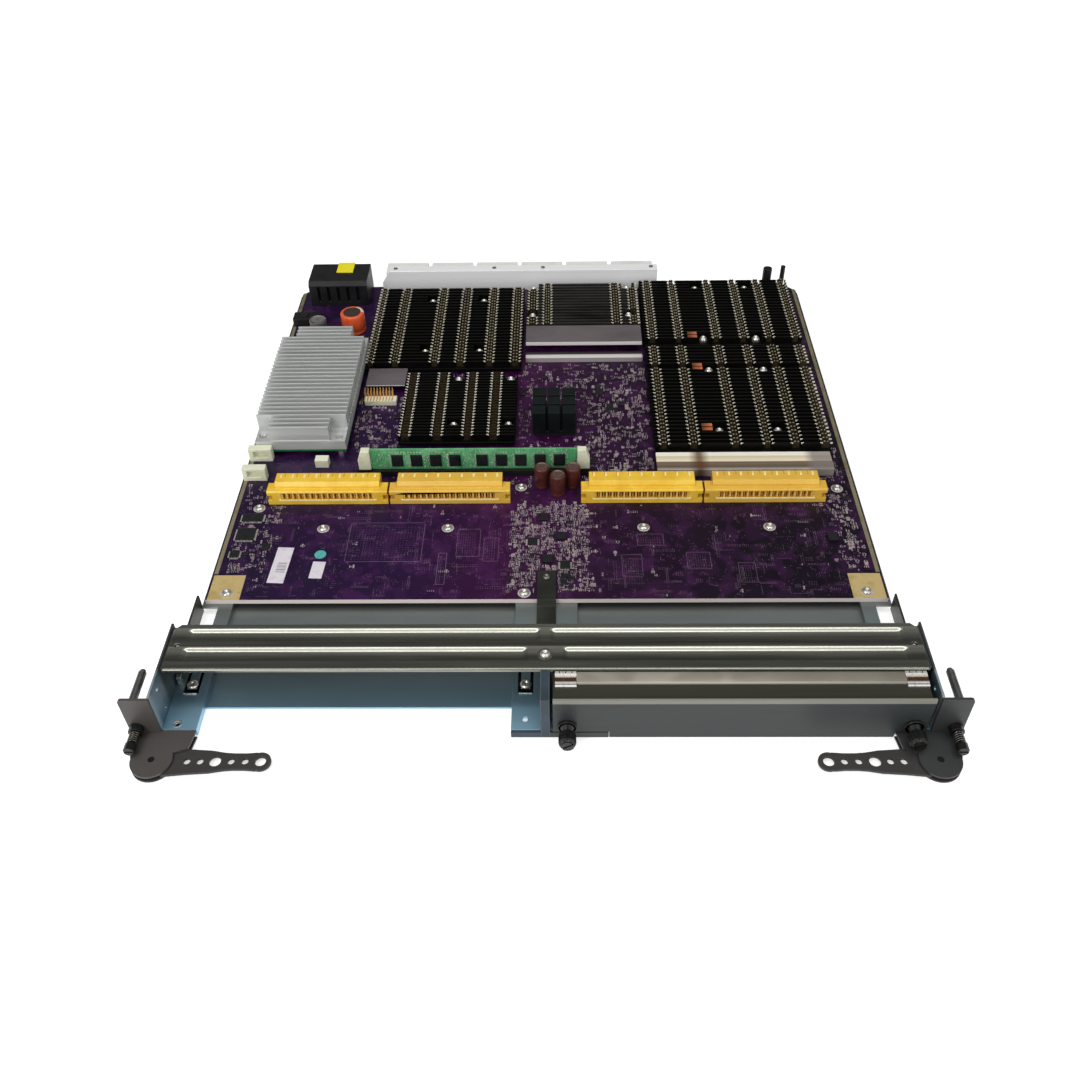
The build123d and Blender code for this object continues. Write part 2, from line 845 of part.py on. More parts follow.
def socket_ear(side, y0):
    """Two cheeks with a pin between them, open at the outer end for the latch to swing."""
    x = latch_x(side)
    half = latch_width / 2 + latch_gap
    y1 = y0 + socket_depth
    ear = block(x - half, x + half, y0, y1, board_top, latch_pivot_z() + 2)
    ear -= block(x - half, x + half, y0 + cheek, y1 - cheek, board_top + 1, latch_pivot_z() + 3)
    return ear + shank(x, y0 + cheek, y1 - cheek, latch_pivot_z(), latch_pin_radius)


def latch_x(side):
    middle = memory_left + memory_length / 2
    return middle + side * (memory_length / 2 + latch_width / 2 + latch_gap)


def latch_pivot_z():
    return board_top + 1 + latch_hub_radius + latch_gap


def memory_latch(side):
    """Ivory end latch: a round hub on its pin, and a finger with a sloped top."""
    x = latch_x(side)
    y0 = memory_y + memory_thick / 2 - latch_thick / 2
    y1 = y0 + latch_thick
    z0 = latch_pivot_z() + 1.6
    z1 = board_top + latch_height
    half = side * latch_width / 2
    outline = [(x - half, z0), (x + half, z0), (x + half, z1 - 7), (x + half * 0.4, z1), (x - half, z1)]
    neck = [(x - 1.9, z0 - 2), (x + 1.9, z0 - 2), (x + 1.9, z0), (x - 1.9, z0)]
    body = prism_back(outline, y0, y1) + prism_back(neck, y0, y1)
    body += rod(x, y0, y1, latch_pivot_z(), latch_hub_radius)
    return body - shank(x, y0 - 1, y1 + 1, latch_pivot_z(), latch_pin_radius + 2 * running_fit)


def memory_module():
    low = board_top + memory_low
    right = memory_left + memory_length
    parts = [block(memory_left, right, memory_y, memory_y + memory_thick, low, low + memory_height)]
    z = board_top + chip_low
    room = memory_length - chip_margin - chip_middle_gap - chip_end_margin
    pitch = room / (sum(chip_counts) - 2)
    first = memory_left + chip_margin
    for count in chip_counts:
        for index in range(count):
            x = first + index * pitch - chip_width / 2
            parts.append(block(x, x + chip_width, memory_y - chip_proud, memory_y, z, z + chip_height))
        first += (count - 1) * pitch + chip_middle_gap
    return group(parts)


# Power converter with its finned heatsink
def power_board():
    back = brick_front + brick_length
    return block(brick_left, brick_right, brick_front, back, brick_low, brick_low + brick_board)


def comb(y0, count, pitch, thick, floor, top):
    """A row of fins standing on a floor, as one (y, z) outline."""
    points = [(y0, floor - 0.5)]
    for index in range(count):
        y = y0 + index * pitch
        if index:
            points.append((y, floor))
        points.append((y, top))
        points.append((y + thick, top))
        if index < count - 1:
            points.append((y + thick, floor))
    points.append((y0 + (count - 1) * pitch + thick, floor - 0.5))
    return points


def power_heatsink():
    x1 = brick_right
    low = brick_low + brick_board
    plate = block(brick_left, x1, brick_front, brick_front + brick_length, low, brick_floor)
    pitch = (brick_length - brick_fin - 2) / (brick_fins - 1)
    first = brick_front + 1
    wide = brick_fins - 2 * brick_narrow_fins
    start = first + brick_narrow_fins * pitch
    fins = prism_across(comb(start, wide, pitch, brick_fin, brick_floor, brick_top), brick_left, x1)
    middle = (brick_left + x1) / 2
    narrow = middle - brick_narrow_width / 2, middle + brick_narrow_width / 2
    for y in (first, start + wide * pitch):
        fins += prism_across(comb(y, brick_narrow_fins, pitch, brick_fin, brick_floor, brick_top), *narrow)
    sink = plate + fins
    edge = plate.edges().filter_by(Axis.Z).sort_by(Axis.Y)[-2:].sort_by(Axis.X)[:1][0].center()
    wedge = Pos(edge.X, edge.Y) * Rot(Z=45) * Rectangle(brick_chamfer * 1.4, brick_chamfer * 1.4)
    return sink - raised(wedge, low, brick_top + 1)


def brick_corners():
    inset = brick_hole_inset
    xs = brick_left + inset, brick_right - inset
    ys = brick_front + inset, brick_front + brick_length - inset - 3
    return [(x, y) for x in xs for y in ys]


def power_screws():
    """Pan-head screws on the heatsink and the hexagonal spacers under the board."""
    parts = []
    for x, y in brick_corners():
        parts.append(stud(x, y, brick_floor, brick_floor + pan_height, small_screw_radius))
        parts.append(stud(x, y, board_top, brick_low, spacer_radius, 6))
    return group(parts)


# Dark finned heatsinks
def sink_corners(edges, insets):
    """The four screw places of a dark heatsink, from its own edges."""
    left, right, front, back = edges
    xs = left + insets[0], right - insets[1]
    ys = front + insets[2], back - insets[3]
    return [(x, y) for y in ys for x in xs]


def dark_heatsink(edges, insets):
    left, right, front, back = edges
    count = int((back - front - fin_thick) // fin_pitch) + 1
    start = front + (back - front - fin_thick - (count - 1) * fin_pitch) / 2
    plate = block(left, right, front, back, sink_base_low, sink_floor)
    fins = comb(start, count, fin_pitch, fin_thick, sink_floor, heatsink_top)
    sink = plate + prism_across(fins, left, right)
    half = screw_pocket / 2
    for x, y in sink_corners(edges, insets):
        sink -= block(x - half, x + half, y - half, y + half, sink_floor, heatsink_top + 1)
    return sink


def heatsink_screws():
    top = sink_floor + sink_screw_height
    heads = []
    for edges, insets in sinks.values():
        for x, y in sink_corners(edges, insets):
            heads.append(stud(x, y, sink_floor, top, sink_screw_radius, sink_screw_sides))
    return group(heads)


def chip_heatsink():
    """Tall black heatsink cut both ways into square fins."""
    x0 = chip_sink_left
    x1 = x0 + chip_sink_width
    y0 = chip_sink_front
    y1 = y0 + chip_sink_depth
    sink = block(x0, x1, y0, y1, sink_base_low, chip_sink_top)
    third = chip_sink_width / 3
    for index in (1, 2):
        x = x0 + index * third - chip_sink_slot / 2
        sink -= block(x, x + chip_sink_slot, y0 - 1, y1 + 1, sink_floor, chip_sink_top + 1)
        y = y0 + index * chip_sink_depth / 3 - chip_sink_slot / 2
        sink -= block(x0 - 1, x1 + 1, y, y + chip_sink_slot, sink_floor, chip_sink_top + 1)
    return sink


def board_chips():
    """Flat packages: large ones under the heatsinks and small ones in the open."""
    chips = []
    for (left, right, front, back), _ in sinks.values():
        x = (left + right) / 2
        y = (front + back) / 2
        half = min(right - left, back - front) * 0.28
        chips.append(block(x - half, x + half, y - half, y + half, board_top, sink_base_low))
    x0 = chip_sink_left + 1
    y0 = chip_sink_front + 1
    wide = chip_sink_width - 2
    chips.append(block(x0, x0 + wide, y0, y0 + wide, board_top, sink_base_low))
    spots = list(centre_chips)
    spots += [(x - board_half_width, y, wide, deep) for x, y, wide, deep in left_chips]
    spots += [(board_half_width - x, y, wide, deep) for x, y, wide, deep in right_chips]
    for x, y, wide, deep in spots:
        x0 = x - wide / 2
        y0 = y - deep / 2
        chips.append(block(x0, x0 + wide, y0, y0 + deep, board_top, board_top + small_chip_height))
    return group(chips)


def heat_pipes():
    """Flat copper pipes that show between the fins of the right-hand heatsinks."""
    x0 = right_sink_left + pipe_left
    x1 = x0 + pipe_length
    rear = sink_corners(right_rear_sink, right_rear_insets)
    front = sink_corners(right_front_sink, right_front_insets)
    pipes = []
    for x, y in (rear[0], front[0], front[2]):
        for offset in (-pipe_radius * 1.4, pipe_radius * 1.4):
            low = y + offset - pipe_radius
            pipes.append(block(x0, x1, low, low + 2 * pipe_radius, heatsink_top, heatsink_top + pipe_proud))
    return group(pipes)


# Shields
def board_shields():
    """Sheet-metal covers beside the heatsinks: a plate on legs, a step and a side plate."""
    left, right, _, _ = centre_sink
    top = centre_shield_top
    plate_back = centre_sink[2] - 0.6
    y0 = centre_shield_front
    path = [(y0, top - 3), (y0, top), (plate_back, top), (plate_back, board_top)]
    covers = [prism_across(folded_outline(path, shield_sheet), left, right)]
    step_top = board_top + step_height
    path = [(step_front, board_top), (step_front, step_top), (step_back, step_top)]
    covers.append(prism_across(folded_outline(path, shield_sheet), left, right))
    x0 = left_shield_left
    path = [(x0, board_top), (x0, left_shield_top), (left_shield_right, left_shield_top)]
    covers.append(prism_back(folded_outline(path, shield_sheet), left_shield_front, left_shield_back))
    return group(covers)


def right_shield():
    path = [
        (right_shield_front, board_top),
        (right_shield_front, right_shield_top),
        (right_shield_back, right_shield_top),
    ]
    return prism_across(folded_outline(path, shield_sheet), right_sink_left, right_shield_right)


# Back edge of the card
def back_bar():
    """Light angle along the back edge, cut away at its left end."""
    back = back_bar_front + back_bar_depth
    path = [(back_bar_front, board_top), (back_bar_front, back_bar_top), (back, back_bar_top)]
    bar = prism_across(folded_outline(path, back_bar_sheet), back_bar_left, back_bar_right)
    cut = Polygon(
        (back_bar_left - 1, back_bar_top + 1),
        (back_bar_left + back_bar_cut_width, back_bar_top + 1),
        (back_bar_left - 1, back_bar_top - back_bar_cut_height),
        align=None,
    )
    frame = Plane(origin=(0, back_bar_front - 1, 0), x_dir=(1, 0, 0), z_dir=(0, -1, 0))
    return bar - extrude(frame * cut, amount=back_bar_depth + 2, dir=(0, 1, 0))


def backplane_connectors():
    """Plain right-angle housings under the back bar."""
    pitch = backplane_length + backplane_gap
    middle = (back_bar_left + back_bar_right) / 2
    count = int((back_bar_right - back_bar_left) // pitch)
    start = middle - (count - 1) * pitch / 2
    top = back_bar_top - back_bar_sheet
    housings = []
    for index in range(count):
        x = start + index * pitch
        x0 = x - backplane_length / 2
        x1 = x + backplane_length / 2
        housings.append(block(x0, x1, backplane_front, backplane_back, board_top, top))
    return group(housings)


def power_connector():
    """Black connector with ribs across its front and a row of open blade slots behind."""
    y0 = power_plug_front
    y1 = power_plug_back
    body = block(plug_left, plug_right, y0, y1, board_top, power_plug_top)
    edge = body.edges().filter_by(Axis.X).sort_by(Axis.Z)[-2:].sort_by(Axis.Y)[:1]
    body = chamfer(edge, plug_chamfer)
    pitch = power_plug_width / (plug_slots + 1)
    for index in range(plug_slots):
        x = plug_left + (index + 1) * pitch - plug_slot / 2
        high = power_plug_top - plug_slot_margin
        low = board_top + plug_slot_margin
        body -= block(x, x + plug_slot, y0 - 1, y0 + plug_front_slot, low, high)
        body -= block(x, x + plug_slot, y1 - plug_back_slot, y1 + 1, low, high)
    return body


def connector_tag():
    x = (plug_left + plug_right) / 2 + tag_offset - tag_width / 2
    top = power_plug_top + tag_thick
    back = power_plug_back + tag_thick
    path = [(back - tag_reach, top), (back, top), (back, top - tag_drop)]
    return prism_across(folded_outline(path, tag_thick), x, x + tag_width)


def rear_clip():
    """Black clip block at the back left with a screw boss."""
    x = clip_block_inset - board_half_width
    top = board_top + clip_block_height
    back = clip_block_front + clip_block_depth
    body = block(x, x + clip_block_width, clip_block_front, back, board_top, top)
    middle = (clip_block_front + back) / 2
    return body + stud(x + clip_boss_inset, middle, top, top + clip_boss_height, pan_radius)


def rear_guide_posts():
    x = board_half_width - post_inset
    post = stud(x, post_y, board_top, board_top + post_height, post_radius, knob_sides)
    x = board_half_width - pin_inset
    pin = stud(x, pin_y, board_top, board_top + pin_height, pin_radius, knob_sides)
    return group([post, pin])


def can(x, y, radius, height, sides):
    """Electrolytic capacitor, a can that stands on the board."""
    return stud(x, y, board_top, board_top + height, radius, sides)


def edge_can(inset, y, radius, height):
    """A large can placed from the board's left edge."""
    return can(inset - board_half_width, y, radius, height, can_sides)


def board_sockets():
    """Ivory sockets at the left edge, a small white plug and a pin header."""
    x0 = side_socket_inset - board_half_width
    x1 = x0 + side_socket_width
    top = board_top + side_socket_height
    parts = []
    for y in socket_fronts:
        socket = block(x0, x1, y, y + side_socket_depth, board_top, top)
        parts.append(socket - block(
            x0 + side_socket_wall,
            x1 - side_socket_wall,
            y - 1,
            y + side_socket_depth - side_socket_back,
            board_top + side_socket_wall,
            top - side_socket_lid,
        ))
    corners = (plug_inset - board_half_width, plug_front), (brick_right + header_gap, header_front)
    for (x, y), (wide, deep, tall) in zip(corners, (plug_size, header_size)):
        parts.append(block(x, x + wide, y, y + deep, board_top, board_top + tall))
    return group(parts)


# Fasteners of the tray, the bars and the walls
def chassis_screws():
    """Screws in the tray's rails, the cross bar, the strap and the back bar."""
    heads = []
    middle = bay_half_width - rail_width / 2
    y = window_front + rail_screw_setback
    for x in (-middle, centre_rail_left + centre_screw_offset, middle):
        heads.append(stud(x, y, rail_top, rail_top + pan_height, small_screw_radius))
    heads.append(stud(bar_middle, bead_rows[0], face_height, face_height + pan_height, pan_radius))
    top = board_top + strap_thick
    heads.append(stud(bar_middle, strap_back - strap_screw_inset, top, top + pan_height, small_screw_radius))
    y = back_bar_front + back_bar_depth / 2
    left_pair, right_pair = bar_screw_insets
    places = [back_bar_left + inset for inset in left_pair]
    places += [back_bar_right - inset for inset in right_pair]
    for x in places:
        heads.append(stud(x, y, back_bar_top, back_bar_top + bar_screw_height, bar_screw_radius))
    return group(heads)


def wall_rivets():
    heads = []
    for side in (-1, 1):
        for y, z in rivet_spots:
            head = Rot(Y=90 * side) * stud(0, 0, 0, rivet_height, rivet_radius)
            heads.append(Pos(side * wall_outer, y, z) * head)
    return group(heads)


def build_all():
    pieces["base_tray"] = base_tray()
    add_pair("side_wall", side_wall())
    add_pair("faceplate_ear", faceplate_ear())
    pieces["pivot_plates"] = group(both_sides(pivot_plate()).values())
    add_pair("lever", lever())
    pieces["lever_pins"] = group([lever_pin(-1), lever_pin(1)])
    pieces["guide_pins"] = group([guide_pin(-1), guide_pin(1)])
    pieces["screw_collars"] = screw_collars()
    add_pair("ear_screw", ear_screw())
    add_pair("ear_spring", ear_spring())
    pieces["cross_bar"] = cross_bar()
    pieces["centre_divider"] = centre_divider()
    pieces["centre_strap"] = centre_strap()
    pieces["filler_panel"] = filler_panel()
    pieces["filler_gasket"] = filler_gasket()
    for side, x in zip(("left", "right"), filler_screw_places()):
        pieces[side + "_filler_screw"] = filler_screw(x)
    pieces["main_board"] = main_board()
    pieces["board_standoffs"] = board_standoffs()
    pieces["board_screws"] = board_screws()
    for number, centre in enumerate(connector_centres, 1):
        pieces[f"module_connector_{number}"] = module_connector(centre)
    pieces["memory_socket"] = memory_socket()
    pieces["memory_module"] = memory_module()
    pieces["left_memory_latch"] = memory_latch(-1)
    pieces["right_memory_latch"] = memory_latch(1)
    pieces["power_board"] = power_board()
    pieces["power_heatsink"] = power_heatsink()
    pieces["power_screws"] = power_screws()
    for name, (edges, insets) in sinks.items():
        pieces[name + "_heatsink"] = dark_heatsink(edges, insets)
    pieces["heatsink_screws"] = heatsink_screws()
    pieces["heat_pipes"] = heat_pipes()
    pieces["chip_heatsink"] = chip_heatsink()
    pieces["board_chips"] = board_chips()
    pieces["board_shields"] = board_shields()
    pieces["right_shield"] = right_shield()
    pieces["back_bar"] = back_bar()
    pieces["backplane_connectors"] = backplane_connectors()
    pieces["power_connector"] = power_connector()
    pieces["connector_tag"] = connector_tag()
    pieces["rear_clip"] = rear_clip()
    pieces["rear_guide_posts"] = rear_guide_posts()
    pieces["orange_capacitor"] = edge_can(*orange_can)
    pieces["grey_capacitor"] = edge_can(*grey_can)
    cans = [can(x, y, brown_radius, brown_height, small_can_sides) for x, y in brown_cans]
    pieces["brown_capacitors"] = group(cans)
    pieces["board_sockets"] = board_sockets()
    pieces["chassis_screws"] = chassis_screws()
    pieces["wall_rivets"] = wall_rivets()


build_all()
os.makedirs("parts", exist_ok=True)
for name, piece in pieces.items():
    export_step(Pos(*origin_shift) * piece, f"parts/{name}.step")
print(len(pieces), "nodes, origin moved by", origin_shift)
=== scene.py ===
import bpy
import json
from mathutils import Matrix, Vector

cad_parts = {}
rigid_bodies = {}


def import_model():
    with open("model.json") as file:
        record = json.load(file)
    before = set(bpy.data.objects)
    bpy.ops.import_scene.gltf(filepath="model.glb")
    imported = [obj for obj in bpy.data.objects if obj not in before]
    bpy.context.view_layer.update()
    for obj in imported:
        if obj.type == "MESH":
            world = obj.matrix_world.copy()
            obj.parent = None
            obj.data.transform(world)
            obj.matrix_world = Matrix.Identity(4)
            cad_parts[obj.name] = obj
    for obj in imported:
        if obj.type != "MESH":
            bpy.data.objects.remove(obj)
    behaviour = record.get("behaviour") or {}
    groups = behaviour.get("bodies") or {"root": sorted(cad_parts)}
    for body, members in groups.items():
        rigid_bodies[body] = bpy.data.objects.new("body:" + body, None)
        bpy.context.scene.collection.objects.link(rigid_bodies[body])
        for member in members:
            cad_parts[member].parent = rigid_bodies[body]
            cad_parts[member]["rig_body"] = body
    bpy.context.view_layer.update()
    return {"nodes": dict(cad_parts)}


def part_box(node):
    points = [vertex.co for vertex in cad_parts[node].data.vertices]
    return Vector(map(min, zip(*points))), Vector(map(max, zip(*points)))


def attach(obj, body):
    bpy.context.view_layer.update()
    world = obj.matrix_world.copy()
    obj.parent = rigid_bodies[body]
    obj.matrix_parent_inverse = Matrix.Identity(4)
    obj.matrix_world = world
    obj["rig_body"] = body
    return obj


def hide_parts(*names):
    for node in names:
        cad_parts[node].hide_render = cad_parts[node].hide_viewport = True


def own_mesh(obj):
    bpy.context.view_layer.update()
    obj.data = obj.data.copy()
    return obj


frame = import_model()

import json
import math
import random

import bmesh
import bpy
from mathutils import Matrix, Vector

mm = 0.001
scene = bpy.context.scene
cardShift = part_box("main_board")[0].y - 91 * mm   # the board's front edge lies 91 mm behind the faceplate


def place(x, y, z):
    # card millimetres, measured from the middle of the faceplate's front, to the frame's metres
    return Vector((x * mm, y * mm + cardShift, z * mm))


def nodeBox(node):
    # a CAD node's box in card millimetres
    low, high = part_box(node)
    shift = Vector((0, cardShift, 0))
    return (low - shift) / mm, (high - shift) / mm


def tone(red, green, blue):
    # a colour as seen on a screen, made linear for the shaders
    def linear(level):
        return ((level / 255 + 0.055) / 1.055) ** 2.4 if level > 10 else level / 255 / 12.92
    return linear(red), linear(green), linear(blue), 1


# node helpers, for shader and geometry trees alike
def feed(tree, socket, value):
    # a socket takes a link or a plain value
    if isinstance(value, bpy.types.NodeSocket):
        tree.links.new(value, socket)
    else:
        socket.default_value = value


def put(tree, kind, inputs=None, **settings):
    node = tree.nodes.new(kind)
    for key, value in settings.items():
        setattr(node, key, value)
    for key, value in (inputs or {}).items():
        feed(tree, node.inputs[key], value)
    return node


def ramp(tree, factor, stops, kind="LINEAR"):
    node = put(tree, "ShaderNodeValToRGB", {"Fac": factor})
    band = node.color_ramp
    band.interpolation = kind
    band.elements[0].position, band.elements[0].color = stops[0]
    band.elements[-1].position, band.elements[-1].color = stops[-1]
    for position, colour in stops[1:-1]:
        band.elements.new(position).color = colour
    return node.outputs["Color"]


def screenRamp(tree, factor, stops):
    # stops are places with colours as seen on a screen
    return ramp(tree, factor, [(at, tone(*colour)) for at, colour in stops])


def evenRamp(tree, factor, colours):
    last = len(colours) - 1
    return screenRamp(tree, factor, [(index / last, colour) for index, colour in enumerate(colours)])


def mixColours(tree, factor, first, second):
    return put(tree, "ShaderNodeMix", {0: factor, 6: first, 7: second}, data_type="RGBA").outputs[2]


def maths(tree, kind, *values):
    return put(tree, "ShaderNodeMath", dict(enumerate(values)), operation=kind).outputs[0]


def times(tree, first, second):
    return maths(tree, "MULTIPLY", first, second)


def remap(tree, value, low, high, start=0.0, end=1.0):
    return put(tree, "ShaderNodeMapRange", {"Value": value, "From Min": low, "From Max": high,
                                            "To Min": start, "To Max": end}).outputs["Result"]


def objectPlace(tree):
    return put(tree, "ShaderNodeTexCoord").outputs["Object"]


def axes(tree, vector):
    return put(tree, "ShaderNodeSeparateXYZ", {"Vector": vector}).outputs


def facing(tree):
    return axes(tree, put(tree, "ShaderNodeNewGeometry").outputs["Normal"])


def ownMap(tree):
    return axes(tree, put(tree, "ShaderNodeUVMap", uv_map="UVMap").outputs["UV"])


def noise(tree, vector, scale, detail=4.0, rough=0.6, stretch=None):
    if stretch:
        vector = put(tree, "ShaderNodeMapping", {"Vector": vector, "Scale": stretch}).outputs[0]
    return put(tree, "ShaderNodeTexNoise", {"Vector": vector, "Scale": scale, "Detail": detail,
                                            "Roughness": rough}).outputs["Fac"]


def within(tree, value, low, high, soft=0.0002):
    # 1 between two places along an axis, 0 outside
    rise = remap(tree, value, low - soft, low + soft)
    fall = remap(tree, value, high - soft, high + soft, 1.0, 0.0)
    return times(tree, rise, fall)


def byDepth(tree, parts, front, back, start=0.0, end=1.0):
    # runs between two places behind the faceplate, given in metres
    return remap(tree, parts["Y"], front + cardShift, back + cardShift, start, end)


def cloudy(tree, spot, grain, low=0.0, high=1.0, stretch=None):
    # soft clouds between two levels
    return remap(tree, noise(tree, spot, grain, stretch=stretch), 0.3, 0.7, low, high)


def whiteGrid(tree, vector, scale, line, smooth=0.1):
    # white lines round black bricks
    return put(tree, "ShaderNodeTexBrick", {
        "Vector": vector, "Scale": scale, "Mortar Size": line, "Mortar Smooth": smooth,
        "Color1": (0, 0, 0, 1), "Color2": (0, 0, 0, 1), "Mortar": (1, 1, 1, 1)}).outputs["Color"]


def newFinish(name, metallic=0.0, **shader):
    material = bpy.data.materials.new(name)
    material.use_nodes = True
    tree = material.node_tree
    shaderNode = tree.nodes["Principled BSDF"]
    shaderNode.inputs["Metallic"].default_value = metallic
    for key, value in shader.items():
        shaderNode.inputs[key.replace("_", " ")].default_value = value
    return material, tree, shaderNode


def coat(tree, out, colour, rough, height=None, bump=0.1, depth=0.00006):
    # colour, gloss and raised grain go to the shader
    feed(tree, out.inputs["Base Color"], colour)
    feed(tree, out.inputs["Roughness"], rough)
    if height:
        raised = put(tree, "ShaderNodeBump", {"Height": height, "Strength": bump, "Distance": depth})
        feed(tree, out.inputs["Normal"], raised.outputs["Normal"])


grainDepth = 0.00008   # of the common finish, in metres


def surface(name, colours, grain=60.0, stretch=None, metallic=0.0, rough=(0.4, 0.55), bump=0.1,
            bumpGrain=900.0, tint=None, **shader):
    # the common finish: colours wander with a noise, gloss with another, and a fine grain is raised
    material, tree, out = newFinish(name, metallic, **shader)
    spot = objectPlace(tree)
    colour = evenRamp(tree, cloudy(tree, spot, grain, stretch=stretch), colours)
    if tint:
        colour = tint(tree, spot, colour)
    gloss = cloudy(tree, spot, grain * 2.3, *rough, stretch)
    fine = noise(tree, spot, bumpGrain, 2.0, stretch=stretch)
    coat(tree, out, colour, gloss, fine, bump, grainDepth)
    return material


def upFacingHighlight(colour, share=0.75):
    # a painted highlight where a face looks up, uneven in strength
    def tint(tree, spot, base):
        up = remap(tree, facing(tree)["Z"], 0.25, 0.8)
        highlightPatches = remap(tree, noise(tree, spot, 140.0), 0.35, 0.6, 0.35, share)
        return mixColours(tree, times(tree, up, highlightPatches), base, tone(*colour))
    return tint


def paintedLightAlong(stops, axis="Y", low=0.0, high=0.4, share=0.8):
    # a painted light and shade gradient from front to back, or across
    def tint(tree, spot, base):
        shift = cardShift if axis == "Y" else 0
        way = remap(tree, axes(tree, spot)[axis], low + shift, high + shift)
        return mixColours(tree, share, base, screenRamp(tree, way, stops))
    return tint


def wallShade(tree, spot, base):
    # painted highlights on up-facing faces and along the front edge, painted reflections as light patches
    # low down, darker towards the bottom, and a dark grey tail behind the bar
    bright = upFacingHighlight((196, 204, 206), 0.6)(tree, spot, base)
    parts = axes(tree, spot)
    low = remap(tree, parts["Z"], 0.004, 0.02, 0.7, 0.0)
    shaded = mixColours(tree, low, bright, tone(66, 92, 110))
    # painted highlight along the wall's front edge
    edge = byDepth(tree, parts, 0.003, 0.006, 0.7, 0.0)
    shaded = mixColours(tree, edge, shaded, tone(198, 202, 204))
    # painted reflections: light patches on the lower wall
    reflectionPatches = remap(tree, noise(tree, spot, 55.0, 1.0), 0.56, 0.66, 0.0, 0.6)
    shaded = mixColours(tree, times(tree, reflectionPatches, low), shaded, tone(190, 208, 216))
    tail = byDepth(tree, parts, 0.018, 0.021, 0.0, 0.85)
    high = times(tree, tail, remap(tree, parts["Z"], 0.012, 0.02, 0.6, 1.0))
    back = byDepth(tree, parts, 0.05, 0.056)
    return mixColours(tree, maths(tree, "MAXIMUM", high, back), shaded, tone(72, 72, 68))


def copperShade(tree, spot, base):
    # the left end of each pipe lies in the fins' shade
    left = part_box("heat_pipes")[0].x
    shaded = remap(tree, axes(tree, spot)["X"], left + 0.001, left + 0.006, 0.75, 0.0)
    return mixColours(tree, shaded, base, tone(60, 30, 18))


def barShade(tree, spot, base):
    # each bead has a painted highlight along its rear and painted shade in front of it; places in card
    # millimetres
    shades = ((19.6, 120), (25.2, 132), (26.4, 66), (29.3, 110), (31.8, 200), (35.2, 235), (36.0, 100),
              (38.4, 78), (42.3, 120), (44.8, 205), (48.3, 235), (49.0, 150), (51.0, 175))
    first, last = shades[0][0], shades[-1][0]
    back = byDepth(tree, axes(tree, spot), first * mm, last * mm)
    stops = [((y - first) / (last - first), (level, level, level * 0.94)) for y, level in shades]
    return mixColours(tree, 0.65, base, screenRamp(tree, back, stops))


def lidShade(tree, spot, base):
    # grey front, a painted highlight along the fold, olive lid
    parts = axes(tree, spot)
    ahead = byDepth(tree, parts, 0.0002, 0.0004, 1.0, 0.0)
    base = mixColours(tree, ahead, base, tone(48, 52, 52))
    fold = times(tree, remap(tree, parts["Z"], 0.0282, 0.0286),
                 byDepth(tree, parts, 0.0009, 0.0014, 1.0, 0.0))
    return mixColours(tree, times(tree, fold, 0.75), base, tone(150, 150, 138))


def dividerShade(tree, spot, base):
    # the lip under the filler is the filler's grey; light lines run down the post's edges
    parts = axes(tree, spot)
    base = mixColours(tree, remap(tree, parts["X"], 0.0036, 0.0038), base, tone(60, 64, 64))
    for x in (-0.0011, 0.0032):
        line = within(tree, parts["X"], x - 0.0001, x + 0.0001, 0.00015)
        base = mixColours(tree, times(tree, line, 0.6), base, tone(120, 128, 132))
    return base


def plateShade(tree, spot, base):
    # painted highlights on the folded fronts of the middle covers, and on the lower one a painted highlight
    # in front and painted shadow at its back
    parts = axes(tree, spot)
    ahead = remap(tree, facing(tree)["Y"], -0.9, -0.4, 1.0, 0.0)
    upper = remap(tree, parts["Z"], 0.0146, 0.0148)
    base = mixColours(tree, times(tree, ahead, upper), base, tone(236, 232, 230))
    middle = within(tree, parts["Y"], 0.3275 + cardShift, 0.337 + cardShift)
    low = times(tree, middle, remap(tree, parts["Z"], 0.0135, 0.014, 1.0, 0.0))
    # painted highlight on the front of the lower step, painted shadow in the gap behind it
    band = screenRamp(tree, byDepth(tree, parts, 0.3283, 0.3363), (
        (0.0, (150, 142, 142)), (0.08, (236, 230, 228)), (0.5, (222, 214, 212)), (0.6, (52, 44, 46)),
        (1.0, (40, 34, 38))))
    return mixColours(tree, low, base, band)


def shieldShade(tree, spot, base):
    # cream at the back, a brown reflection in front of it and across at one place, grey at the right end
    parts = axes(tree, spot)
    band = screenRamp(tree, byDepth(tree, parts, 0.1986, 0.2166), (
        (0.0, (176, 166, 156)), (0.1, (120, 106, 92)), (0.16, (40, 22, 8)), (0.34, (112, 72, 30)),
        (0.42, (66, 40, 16)), (0.48, (250, 238, 208)), (0.72, (220, 202, 164)), (0.8, (255, 250, 234)),
        (1.0, (255, 252, 240))))
    base = mixColours(tree, 0.9, base, band)
    patch = within(tree, parts["X"], 0.096, 0.104, 0.003)
    base = mixColours(tree, times(tree, patch, 0.85), base, tone(96, 60, 30))
    end = remap(tree, parts["X"], 0.168, 0.174, 0.0, 0.8)
    return mixColours(tree, end, base, tone(132, 124, 120))


# finishes
print("finishes")
